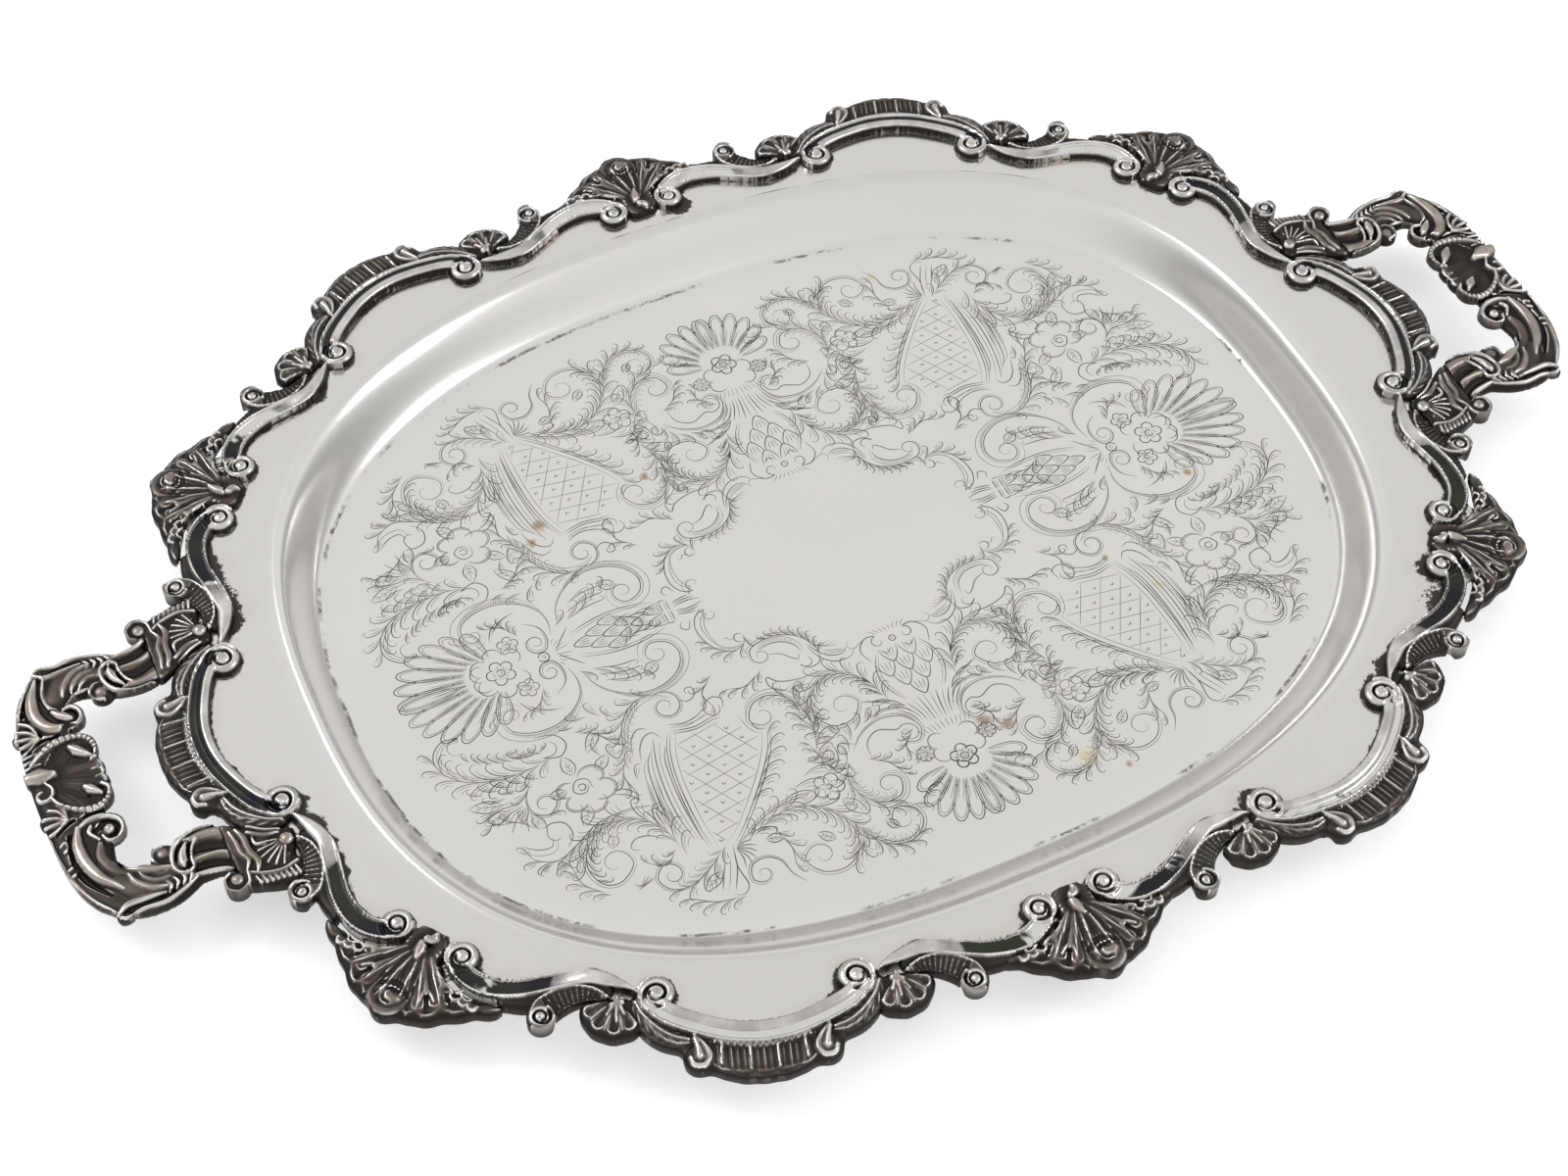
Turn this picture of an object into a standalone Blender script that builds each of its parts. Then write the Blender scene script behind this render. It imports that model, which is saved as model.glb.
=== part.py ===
"""Dresser vanity tray: a stamped silver tray with soldered cast border mounts and two loop handles.

Units are metres and +Z is up.  The origin is the centre of the flat underside, +X runs
through the two handles and +Y across the tray.
"""

import math

import bmesh
import bpy
from mathutils import Matrix, Vector

# Stamped sheet
SHEET = 0.0012
RING_POINTS = 96
FLOOR_HALF = (0.2187, 0.1672)
FLOOR_POWER = 2.52
SHOULDER_FOOT_HALF = (0.2215, 0.1702)
SHOULDER_TOP_HALF = (0.2360, 0.1950)
SHOULDER_POWER = 2.5
SHOULDER_FOOT_Z = 0.0006
SHOULDER_TOP_Z = 0.0225
SHOULDER_STEPS = 4
RIM_HALF = (0.2750, 0.2165)
RIM_POWER = 2.17
RIM_Z = 0.0230
CROWN_RISE = 0.0240
C_CROWN_WIDTH = 0.0380
SHELL_CROWN_WIDTH = 0.0270
HANDLE_LAND = Vector((0.2765, 0.0580))
HANDLE_LAND_WIDTH = 0.0135

# Border layout: centres of the scroll volutes in the quadrant +X +Y
END_C_VOLUTE = Vector((0.2623, 0.0391))
CORNER_S_END_VOLUTE = Vector((0.2404, 0.1098))
CORNER_S_SIDE_VOLUTE = Vector((0.2230, 0.1338))
SIDE_C_OUTER_VOLUTE = Vector((0.1625, 0.1794))
SIDE_C_INNER_VOLUTE = Vector((0.0909, 0.2044))
MID_S_VOLUTE = Vector((0.0143, 0.2085))

# Castings: all stand on the rim, with a solder gap under them
SOLDER_GAP = 0.0003
CAST_BASE = RIM_Z + SHEET + 2 * SOLDER_GAP
CAST_EDGE_Z = 0.0268
BAND_TOP_Z = 0.0280
BUTTON_TOP_Z = 0.0292
STAGGER = 0.00007

# Mesh clean-up after a union
WELD = 0.00002
FLAT_ANGLE = math.radians(0.5)

# C scroll: a half chord, a rise, its volutes and the fluted panel outside it
C_HALF_CHORD = 0.0379
C_RISE = 0.0196
C_BAND_HALF = 0.0042
C_VOLUTE_RADIUS = 0.0068
C_BUTTON_RADIUS = 0.0034
C_CURL = Vector((0.0240, 0.0272))
C_CURL_RADIUS = 0.0050
FLUTE_RISE = 0.0368
FLUTE_COUNT = 7

# S scroll: measured from its shell volute towards the next C scroll
S_VOLUTE_RADIUS = 0.0055
S_BALL = Vector((0.0360, 0.0178))
S_BALL_RADIUS = 0.0048

# Large shell and small fan
SHELL_DEPTH = 0.0365
SHELL_TIP_RADIUS = 0.0050
SHELL_RIBS = (-52, -28, 28, 52)
SHELL_RIB_REACH = 0.0250
FAN_HINGE = Vector((0.0520, 0.0010))
FAN_RADIUS = 0.0185
FAN_START = math.radians(38)
FAN_END = math.radians(106)
FAN_LOBES = 4

# Handle: the loop stands clear of the border
HANDLE_BASE = 0.0205
HANDLE_TOP = 0.0285
HANDLE_KNOB_RISE = 0.0015
ROOT_BALL = Vector((0.2900, 0.0668))
ROOT_BALL_RADIUS = 0.0046


def clear_scene():
    for obj in list(bpy.data.objects):
        bpy.data.objects.remove(obj, do_unlink=True)


def new_collection(name, hidden=False):
    collection = bpy.data.collections.new(name)
    bpy.context.scene.collection.children.link(collection)
    collection.hide_render = hidden
    return collection


def silver(name, colour, roughness):
    material = bpy.data.materials.new(name)
    material.use_nodes = True
    shader = material.node_tree.nodes["Principled BSDF"]
    shader.inputs["Base Color"].default_value = (*colour, 1.0)
    shader.inputs["Roughness"].default_value = roughness
    shader.inputs["Metallic"].default_value = 0.95
    material.diffuse_color = (*colour, 1.0)
    return material


def oval_radius(half, power, angle):
    """Distance from the centre to an oval whose corners square up as the power grows."""
    x = abs(math.cos(angle)) / half[0]
    y = abs(math.sin(angle)) / half[1]
    return (x ** power + y ** power) ** (-1 / power)


def crowns():
    """Furthest points of the sheet under each casting, with the width of the swell there."""
    side_c = (SIDE_C_OUTER_VOLUTE + SIDE_C_INNER_VOLUTE) / 2
    corner = (CORNER_S_END_VOLUTE + CORNER_S_SIDE_VOLUTE) / 2
    return [
        (Vector((END_C_VOLUTE.x + CROWN_RISE, 0)), C_CROWN_WIDTH),
        (HANDLE_LAND, HANDLE_LAND_WIDTH),
        (corner + CROWN_RISE * outward(CORNER_S_END_VOLUTE, CORNER_S_SIDE_VOLUTE),
         SHELL_CROWN_WIDTH),
        (side_c + CROWN_RISE * outward(SIDE_C_OUTER_VOLUTE, SIDE_C_INNER_VOLUTE), C_CROWN_WIDTH),
        (Vector((0, MID_S_VOLUTE.y + CROWN_RISE)), SHELL_CROWN_WIDTH),
    ]


def outward(a, b):
    """Unit vector square to the line from a to b, turned away from the centre."""
    along = (b - a).normalized()
    square = Vector((-along.y, along.x))
    return square if square.dot(a) > 0 else -square


def rim_radius(angle):
    """Scalloped edge of the sheet: an oval that swells out under every casting."""
    folded = Vector((abs(math.cos(angle)), abs(math.sin(angle))))
    bearing = math.atan2(folded.y, folded.x)
    radius = oval_radius(RIM_HALF, RIM_POWER, bearing)
    for crown, width in crowns():
        crown_bearing = math.atan2(crown.y, crown.x)
        swell = crown.length - oval_radius(RIM_HALF, RIM_POWER, crown_bearing)
        distance = crown.length * (bearing - crown_bearing)
        radius += swell * math.exp(-(distance / width) ** 4)
    return radius


def smooth_path(points, per_span=3):
    """A Catmull-Rom curve through 2D points, as a plain list of vectors."""
    nodes = [Vector(p) for p in points]
    nodes = [2 * nodes[0] - nodes[1]] + nodes + [2 * nodes[-1] - nodes[-2]]
    path = []
    for i in range(1, len(nodes) - 2):
        a, b, c, d = nodes[i - 1:i + 3]
        for k in range(per_span):
            t = k / per_span
            path.append(0.5 * (2 * b + (c - a) * t + (2 * a - 5 * b + 4 * c - d) * t ** 2
                               + (3 * b - a - 3 * c + d) * t ** 3))
    path.append(nodes[-2])
    return path


def ribbon(points, half_widths, per_span=3):
    """Outline of a band that follows a path, with a half width given at each point."""
    path = smooth_path(points, per_span)
    widths = [w.x for w in smooth_path([(h, 0) for h in half_widths], per_span)]
    left, right = [], []
    for i, here in enumerate(path):
        along = path[min(i + 1, len(path) - 1)] - path[max(i - 1, 0)]
        normal = Vector((-along.y, along.x)).normalized()
        left.append(here + normal * widths[i])
        right.append(here - normal * widths[i])
    return left + right[::-1]


def disc(centre, radius, count=14):
    steps = [2 * math.pi * k / count for k in range(count)]
    return [Vector(centre) + radius * Vector((math.cos(a), math.sin(a))) for a in steps]


def lobed_arc(centre, radius, start, end, lobes, swell, per_lobe=4):
    """An arc round a hinge whose edge swells out into equal lobes."""
    points = []
    steps = lobes * per_lobe
    for k in range(steps + 1):
        angle = start + (end - start) * k / steps
        bulge = radius + swell * abs(math.sin(math.pi * k / per_lobe))
        points.append(Vector(centre) + bulge * Vector((math.cos(angle), math.sin(angle))))
    return points


def plate(outline, bottom, top, collection):
    """A flat plate cut to a closed outline."""
    curve = bpy.data.curves.new("plate", "CURVE")
    curve.dimensions = "2D"
    curve.fill_mode = "BOTH"
    curve.extrude = (top - bottom) / 2
    spline = curve.splines.new("POLY")
    spline.points.add(len(outline) - 1)
    for point, place in zip(spline.points, outline):
        point.co = (place[0], place[1], 0, 1)
    spline.use_cyclic_u = True
    obj = bpy.data.objects.new("plate", curve)
    obj.location.z = (top + bottom) / 2
    collection.objects.link(obj)
    return to_mesh(obj, collection)


def cast(name, pieces, base, collection):
    """One solid from outlines with their top heights; each steps in a little so no faces coincide."""
    solids = []
    for i, (outline, top) in enumerate(pieces):
        solids.append(plate(outline, base + i * STAGGER, top - i * STAGGER, collection))
    return united(name, solids)


def to_mesh(curve_object, collection):
    """Replace a curve object with a mesh object whose caps are welded."""
    bpy.context.view_layer.update()
    graph = bpy.context.evaluated_depsgraph_get()
    mesh = bpy.data.meshes.new_from_object(curve_object.evaluated_get(graph))
    shape = bmesh.new()
    shape.from_mesh(mesh)
    bmesh.ops.remove_doubles(shape, verts=shape.verts, dist=0.00001)
    bmesh.ops.transform(shape, matrix=curve_object.matrix_world, verts=shape.verts)
    bmesh.ops.recalc_face_normals(shape, faces=shape.faces)
    shape.to_mesh(mesh)
    shape.free()
    obj = bpy.data.objects.new("solid", mesh)
    collection.objects.link(obj)
    bpy.data.objects.remove(curve_object, do_unlink=True)
    return obj


def united(name, solids):
    """One mesh from several overlapping solids."""
    first = solids[0]
    for other in solids[1:]:
        union = first.modifiers.new("union", "BOOLEAN")
        union.operation = "UNION"
        union.object = other
    bpy.context.view_layer.update()
    graph = bpy.context.evaluated_depsgraph_get()
    mesh = bpy.data.meshes.new_from_object(first.evaluated_get(graph))
    mesh.name = name
    for solid in solids:
        bpy.data.objects.remove(solid, do_unlink=True)
    shape = bmesh.new()
    shape.from_mesh(mesh)
    bmesh.ops.remove_doubles(shape, verts=shape.verts, dist=WELD)
    bmesh.ops.dissolve_limit(shape, angle_limit=FLAT_ANGLE, verts=shape.verts, edges=shape.edges)
    bmesh.ops.dissolve_degenerate(shape, edges=shape.edges, dist=WELD)
    bmesh.ops.triangulate(shape, faces=shape.faces)
    shape.to_mesh(mesh)
    shape.free()
    return mesh


def c_scroll_mesh(work):
    """Raised C band between two volutes, with a fluted panel and two curls outside it."""
    chord, rise = C_HALF_CHORD, C_RISE
    half = [(chord + 0.0024, 0.0030), (0.0345, 0.0088), (0.0250, 0.0138), (0.0120, 0.0184)]
    path = [(-x, y) for x, y in half] + [(0, rise)] + half[::-1]
    widths = [C_BAND_HALF] * len(path)
    pieces = [(ribbon(path, widths, 2), BAND_TOP_Z), (flute_outline(), CAST_EDGE_Z)]
    for side in (-1, 1):
        volute = (side * chord, 0.0)
        curl = (side * C_CURL.x, C_CURL.y)
        leaf = [(side * 0.0290, 0.0185), (side * 0.0350, 0.0160), (side * 0.0402, 0.0105)]
        pieces.append((disc(volute, C_VOLUTE_RADIUS), BAND_TOP_Z))
        pieces.append((disc(volute, C_BUTTON_RADIUS, 8), BUTTON_TOP_Z))
        pieces.append((disc(curl, C_CURL_RADIUS, 10), BUTTON_TOP_Z))
        pieces.append((ribbon(leaf, [0.0030, 0.0030, 0.0012], 1), CAST_EDGE_Z))
    return cast("c_scroll", pieces, CAST_BASE, work)


def flute_outline():
    """Edge of the fluted panel: small even lobes on an arch between the curls."""
    outer = []
    steps = FLUTE_COUNT * 2
    for k in range(steps + 1):
        across = -1 + 2 * k / steps
        swell = 0.0010 * (k % 2)
        arch = FLUTE_RISE - (FLUTE_RISE - C_CURL.y) * abs(across) ** 2.6
        outer.append(Vector((across * C_CURL.x, arch + swell)))
    inner = [Vector((side * C_CURL.x, 0.0150)) for side in (1, -1)]
    return [inner[0], *reversed(outer), inner[1], Vector((0, C_RISE))]


def s_scroll_mesh(work):
    """Raised S band that starts in a point, ends in a volute and throws off a fluted curl."""
    path = [(0.0672, 0.0004), (0.0600, -0.0008), (0.0500, -0.0018), (0.0430, 0.0000),
            (0.0350, 0.0038), (0.0250, 0.0080), (0.0150, 0.0100), (0.0060, 0.0088),
            (0.0002, 0.0040)]
    widths = [0.0004, 0.0026, 0.0031, 0.0032, 0.0033, 0.0035, 0.0038, 0.0038, 0.0036]
    curl = [(0.0560, 0.0062), (0.0500, 0.0040), (0.0430, 0.0058), (0.0375, 0.0104), S_BALL]
    curl_widths = [0.0018, 0.0020, 0.0034, 0.0042, 0.0038]
    pieces = [
        (ribbon(path, widths, 1), BAND_TOP_Z),
        (disc((0, 0), S_VOLUTE_RADIUS), BAND_TOP_Z),
        (disc((0, 0), S_VOLUTE_RADIUS / 2, 8), BUTTON_TOP_Z),
        (ribbon(curl, curl_widths, 1), CAST_EDGE_Z),
        (disc(S_BALL, S_BALL_RADIUS, 10), BUTTON_TOP_Z),
    ]
    return cast("s_scroll", pieces, CAST_BASE, work)


def shell_mesh(work):
    """Scallop shell that fans out between two S scrolls, with a knob at its hinge."""
    right = [(0.0046, -0.0046), (0.0078, -0.0005), (0.0080, 0.0045), (0.0106, 0.0112),
             (0.0160, 0.0148), (0.0240, 0.0160), (0.0368, 0.0140), (0.0352, 0.0178),
             (0.0298, 0.0212), (0.0262, 0.0252), (0.0203, 0.0276), (0.0160, 0.0310),
             (0.0118, 0.0330), (0.0064, 0.0328)]
    outline = right + [(0, SHELL_DEPTH)] + [(-x, y) for x, y in reversed(right)]
    pieces = [(outline, CAST_EDGE_Z)]
    for angle in SHELL_RIBS:
        lean = math.radians(angle)
        reach = SHELL_RIB_REACH * (1 - abs(angle) / 420)
        out = Vector((math.sin(lean), math.cos(lean)))
        start = Vector((0, 0.0040)) + 0.0020 * out
        pieces.append((ribbon([start, start + out * reach], [0.0007, 0.0016], 1), BAND_TOP_Z))
    pieces.append((disc((0, 0.0010), 0.0046, 10), BUTTON_TOP_Z))
    pieces.append((disc((0, 0.0290), SHELL_TIP_RADIUS, 10), BUTTON_TOP_Z))
    return cast("shell", pieces, CAST_BASE, work)


def fan_mesh(work):
    """Small lobed fan that fills the outside corner between a C and an S scroll."""
    edge = lobed_arc(FAN_HINGE, FAN_RADIUS, FAN_START, FAN_END, FAN_LOBES, 0.0014)
    pieces = [([*edge, FAN_HINGE], CAST_EDGE_Z), (disc(FAN_HINGE, 0.0024, 8), BAND_TOP_Z)]
    return cast("fan", pieces, CAST_BASE, work)


def handle_mesh(work):
    """Loop handle: two S-curved arms and a wide grip, with knobs on it."""
    arm = [(0.2908, 0.0496), (0.2980, 0.0484), (0.3060, 0.0500), (0.3160, 0.0545),
           (0.3260, 0.0545), (0.3345, 0.0480), (0.3375, 0.0370), (0.3360, 0.0220)]
    widths = [0.0104, 0.0108, 0.0106, 0.0108, 0.0106, 0.0100, 0.0098, 0.0126]
    path = arm + [(0.3355, 0.0)] + [(x, -y) for x, y in reversed(arm)]
    loop = ribbon(path, widths + [0.0150] + widths[::-1], 2)
    middle = ribbon(path, [w * 0.6 for w in widths + [0.0150] + widths[::-1]], 2)
    knob_top = HANDLE_TOP + HANDLE_KNOB_RISE
    pieces = [(loop, HANDLE_TOP - HANDLE_KNOB_RISE), (middle, HANDLE_TOP)]
    pieces.append((disc((0.3470, 0), 0.0050, 10), knob_top))
    for side in (-1, 1):
        pieces.append((disc((0.3290, side * 0.0300), 0.0060, 10), knob_top))
        pieces.append((disc((0.3075, side * 0.0440), 0.0042, 10), knob_top))
    return cast("handle", pieces, HANDLE_BASE, work)


def handle_root_mesh(work):
    """Fan-shaped root that ties an arm of the handle to the end of the border."""
    outline = [(0.2700, 0.0468), (0.2780, 0.0440), (0.2886, 0.0390), (0.2886, 0.0620),
               (0.2860, 0.0690), (0.2800, 0.0712), (0.2740, 0.0722), (0.2690, 0.0712),
               (0.2664, 0.0690), (0.2668, 0.0630), (0.2672, 0.0560), (0.2650, 0.0520),
               (0.2660, 0.0488)]
    pieces = [(outline, CAST_EDGE_Z), (disc(ROOT_BALL, ROOT_BALL_RADIUS, 10), BUTTON_TOP_Z)]
    hinge = Vector((0.2700, 0.0575))
    for angle in (-25, 5, 35, 65):
        out = Vector((math.cos(math.radians(angle)), math.sin(math.radians(angle))))
        rib = ribbon([hinge + out * 0.0030, hinge + out * 0.0105], [0.0006, 0.0014], 1)
        pieces.append((rib, BAND_TOP_Z))
    return cast("handle_root", pieces, CAST_BASE, work)


def tray_body(collection, material):
    """One stamped sheet: flat floor, S-shaped shoulder and a wide rim."""
    angles = [2 * math.pi * k / RING_POINTS for k in range(RING_POINTS)]
    rings = [([oval_radius(FLOOR_HALF, FLOOR_POWER, a) for a in angles], 0.0)]
    for step in range(SHOULDER_STEPS + 1):
        t = step / SHOULDER_STEPS
        half = Vector(SHOULDER_FOOT_HALF).lerp(Vector(SHOULDER_TOP_HALF), t)
        height = SHOULDER_FOOT_Z + (SHOULDER_TOP_Z - SHOULDER_FOOT_Z) * (3 - 2 * t) * t ** 2
        rings.append(([oval_radius(half, SHOULDER_POWER, a) for a in angles], height))
    rings.append(([rim_radius(a) for a in angles], RIM_Z))
    shape = bmesh.new()
    loops = [[shape.verts.new((r * math.cos(a), r * math.sin(a), z))
              for r, a in zip(radii, angles)] for radii, z in rings]
    shape.faces.new(loops[0])
    for inner, outer in zip(loops, loops[1:]):
        for k in range(RING_POINTS):
            n = (k + 1) % RING_POINTS
            shape.faces.new((inner[k], outer[k], outer[n], inner[n]))
    bmesh.ops.recalc_face_normals(shape, faces=shape.faces)
    if shape.faces[0].normal.z < 0:
        bmesh.ops.reverse_faces(shape, faces=shape.faces)
    mesh = bpy.data.meshes.new("tray_body")
    shape.to_mesh(mesh)
    shape.free()
    body = add_piece("tray_body", mesh, Matrix(), collection, material)
    thickness = body.modifiers.new("sheet", "SOLIDIFY")
    thickness.thickness = SHEET
    thickness.offset = 1.0
    return body


def add_piece(name, mesh, matrix, collection, material):
    if not mesh.materials:
        mesh.materials.append(material)
    mesh.shade_smooth()
    mesh.set_sharp_from_angle(angle=math.radians(30))
    obj = bpy.data.objects.new(name, mesh)
    obj.matrix_world = matrix
    collection.objects.link(obj)
    return obj


def plan_frame(origin, along, mirror_x, mirror_y):
    """Matrix that lays a casting at a place, turned so its local X runs along a direction."""
    along = Vector(along).normalized()
    away = outward(origin, origin + along)
    turn = Matrix(((along.x, away.x, 0, origin.x), (along.y, away.y, 0, origin.y),
                   (0, 0, 1, 0), (0, 0, 0, 1)))
    return Matrix.Diagonal((mirror_x, mirror_y, 1, 1)) @ turn


def place_border(meshes, collection, materials):
    """Six C scrolls, six shells, twelve S scrolls and eight fans, mirrored in both axes."""
    corner_shell = (CORNER_S_END_VOLUTE + CORNER_S_SIDE_VOLUTE) / 2
    corner_along = CORNER_S_SIDE_VOLUTE - CORNER_S_END_VOLUTE
    side_c = (SIDE_C_OUTER_VOLUTE + SIDE_C_INNER_VOLUTE) / 2
    side_c_along = SIDE_C_INNER_VOLUTE - SIDE_C_OUTER_VOLUTE
    s_runs = {
        "end": (CORNER_S_END_VOLUTE, END_C_VOLUTE),
        "side": (CORNER_S_SIDE_VOLUTE, SIDE_C_OUTER_VOLUTE),
        "mid": (MID_S_VOLUTE, SIDE_C_INNER_VOLUTE),
    }
    for side_x, mx in (("left", -1), ("right", 1)):
        end = plan_frame(Vector((END_C_VOLUTE.x, 0)), (0, 1), mx, 1)
        add_piece(f"c_scroll_end_{side_x}", meshes["c_scroll"], end, collection,
                  materials["scroll"])
        for side_y, my in (("front", -1), ("back", 1)):
            where = f"{side_y}_{side_x}"
            add_piece(f"c_scroll_{where}", meshes["c_scroll"],
                      plan_frame(side_c, side_c_along, mx, my), collection, materials["scroll"])
            add_piece(f"shell_corner_{where}", meshes["shell"],
                      plan_frame(corner_shell, corner_along, mx, my), collection,
                      materials["shell"])
            for run, (volute, target) in s_runs.items():
                add_piece(f"s_scroll_{run}_{where}", meshes["s_scroll"],
                          plan_frame(volute, target - volute, mx, my), collection,
                          materials["scroll"])
            for place, along in (("outer", -side_c_along), ("inner", side_c_along)):
                add_piece(f"fan_{place}_{where}", meshes["fan"],
                          plan_frame(side_c, along, mx, my), collection, materials["shell"])
    for side_y, my in (("front", -1), ("back", 1)):
        add_piece(f"shell_mid_{side_y}", meshes["shell"],
                  plan_frame(Vector((0, MID_S_VOLUTE.y)), (1, 0), 1, my), collection,
                  materials["shell"])


def place_handles(meshes, collection, material):
    for side_x, mx in (("left", -1), ("right", 1)):
        add_piece(f"handle_{side_x}", meshes["handle"], Matrix.Diagonal((mx, 1, 1, 1)),
                  collection, material)
        for side_y, my in (("front", -1), ("back", 1)):
            add_piece(f"handle_root_{side_y}_{side_x}", meshes["handle_root"],
                      Matrix.Diagonal((mx, my, 1, 1)), collection, material)


def main():
    clear_scene()
    tray = new_collection("dresser_vanity_tray")
    work = new_collection("work", hidden=True)
    materials = {
        "sheet": silver("satin_silver", (0.72, 0.70, 0.68), 0.32),
        "scroll": silver("tarnished_silver", (0.46, 0.45, 0.43), 0.30),
        "shell": silver("oxidised_silver", (0.25, 0.23, 0.21), 0.42),
        "handle": silver("handle_silver", (0.30, 0.28, 0.25), 0.38),
    }
    tray_body(tray, materials["sheet"])
    meshes = {
        "c_scroll": c_scroll_mesh(work),
        "s_scroll": s_scroll_mesh(work),
        "shell": shell_mesh(work),
        "fan": fan_mesh(work),
        "handle": handle_mesh(work),
        "handle_root": handle_root_mesh(work),
    }
    place_border(meshes, tray, materials)
    place_handles(meshes, tray, materials["handle"])


main()
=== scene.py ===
"""Looks of the dresser vanity tray: chased silver border, engraved floor, tarnish and wear.

Relief is worked out in millimetres on fine grids and laid on the CAD frame, which is in metres.
"""

import math

import bpy
import numpy as np
from mathutils import Matrix, Vector


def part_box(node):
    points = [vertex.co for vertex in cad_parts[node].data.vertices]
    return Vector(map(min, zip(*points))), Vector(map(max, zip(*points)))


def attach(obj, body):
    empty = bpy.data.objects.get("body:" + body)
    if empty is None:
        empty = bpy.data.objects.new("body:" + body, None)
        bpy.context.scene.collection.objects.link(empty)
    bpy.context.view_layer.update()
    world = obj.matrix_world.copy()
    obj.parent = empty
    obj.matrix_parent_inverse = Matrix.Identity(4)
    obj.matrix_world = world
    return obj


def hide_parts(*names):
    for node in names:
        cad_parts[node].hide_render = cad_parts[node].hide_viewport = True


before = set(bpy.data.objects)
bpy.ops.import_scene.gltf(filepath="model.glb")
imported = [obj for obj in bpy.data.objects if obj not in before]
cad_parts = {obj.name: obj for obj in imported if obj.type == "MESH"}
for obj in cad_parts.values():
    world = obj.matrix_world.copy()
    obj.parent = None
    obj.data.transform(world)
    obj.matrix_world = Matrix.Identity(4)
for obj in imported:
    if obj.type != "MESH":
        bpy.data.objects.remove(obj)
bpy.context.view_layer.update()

MM = 0.001
CELL = 0.38
HANDLE_CELL = 0.42
CASTING_UNDERSIDE = -1.35
LIP_DROP = 2.2
RIM_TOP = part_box("tray_body")[1].z / MM
# The middle of the tray, a hair off it, so that plan_place knows which side is outward
TRAY_MIDDLE = np.array((0, 0.001))

# Scroll volute centres in the quadrant +X +Y, in mm, as the CAD lays them out
END_C = np.array((262.3, 39.1))
CORNER_END = np.array((240.4, 109.8))
CORNER_SIDE = np.array((223, 133.8))
SIDE_OUTER = np.array((162.5, 179.4))
SIDE_INNER = np.array((90.9, 204.4))
MID_S = np.array((14.3, 208.5))

# ---------------------------------------------------------------- paths and fields


def smooth_path(points, per_span=10):
    """Catmull-Rom curve through points of any dimension."""
    nodes = np.array(points, float)
    nodes = np.vstack([2 * nodes[0] - nodes[1], nodes, 2 * nodes[-1] - nodes[-2]])
    path = []
    for a, b, c, d in zip(nodes, nodes[1:], nodes[2:], nodes[3:]):
        for t in np.arange(per_span) / per_span:
            path.append(0.5 * (2 * b + (c - a) * t + (2 * a - 5 * b + 4 * c - d) * t ** 2
                               + (3 * b - a - 3 * c + d) * t ** 3))
    path.append(nodes[-2])
    return np.array(path)


def length_shares(path):
    """Share of the path's length passed at each of its points."""
    steps = np.hypot(*np.diff(path[:, :2], axis=0).T)
    return np.concatenate([[0], np.cumsum(steps)]) / steps.sum()


def along(path, x, y):
    """For each grid point: share of the path's length passed, and signed offset to its left."""
    passed = length_shares(path)
    nearest = np.full(x.shape, 1e9)
    share = np.zeros(x.shape)
    offset = np.full(x.shape, 1e9)
    for i in range(len(path) - 1):
        ax, ay = path[i, :2]
        dx, dy = path[i + 1, :2] - path[i, :2]
        t = np.clip(((x - ax) * dx + (y - ay) * dy) / (dx * dx + dy * dy), 0, 1)
        ox, oy = x - ax - t * dx, y - ay - t * dy
        distance = np.hypot(ox, oy)
        closer = distance < nearest
        nearest = np.where(closer, distance, nearest)
        share = np.where(closer, passed[i] + t * (passed[i + 1] - passed[i]), share)
        offset = np.where(closer, np.copysign(distance, dx * oy - dy * ox), offset)
    return share, offset


def along_band(points, x, y):
    """As along(), for a band whose points carry a half width: adds the half width there."""
    path = smooth_path(points)
    share, offset = along(path, x, y)
    return share, offset, np.interp(share, length_shares(path), path[:, 2])


def ramp(value, low, high):
    """0 below low, 1 above high, smooth between."""
    t = np.clip((value - low) / (high - low), 0, 1)
    return t * t * (3 - 2 * t)


def dome(distance):
    """Half-round section: 1 at distance 0, 0 from distance 1 on."""
    return np.sqrt(np.clip(1 - distance ** 2, 0, 1))


def inside_polygon(points, x, y):
    """Signed depth inside a closed outline."""
    loop = np.vstack([points, points[:1]])
    nearest = np.full(x.shape, 1e9)
    within = np.zeros(x.shape, bool)
    for (ax, ay), (bx, by) in zip(loop, loop[1:]):
        dx, dy = bx - ax, by - ay
        t = np.clip(((x - ax) * dx + (y - ay) * dy) / (dx * dx + dy * dy), 0, 1)
        nearest = np.minimum(nearest, np.hypot(x - ax - t * dx, y - ay - t * dy))
        if ay != by:
            crosses = ((ay > y) != (by > y)) & (x < ax + (y - ay) * dx / dy)
            within ^= crosses
    return np.where(within, nearest, -nearest)


def blurred(values, mask, sigma, cell):
    """Gaussian blur of the masked part of a grid, in mm."""
    reach = int(3 * sigma / cell) + 1
    kernel = np.exp(-0.5 * (np.arange(-reach, reach + 1) * cell / sigma) ** 2)
    kernel /= kernel.sum()

    def spread(grid):
        for axis in (0, 1):
            moved = np.zeros_like(grid)
            for shift, weight in zip(range(-reach, reach + 1), kernel):
                moved += weight * np.roll(grid, shift, axis)
            grid = moved
        return grid

    weight = mask.astype(float)
    return spread(values * weight) / np.maximum(spread(weight), 1e-3)


# ---------------------------------------------------------------- relief grids


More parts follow.
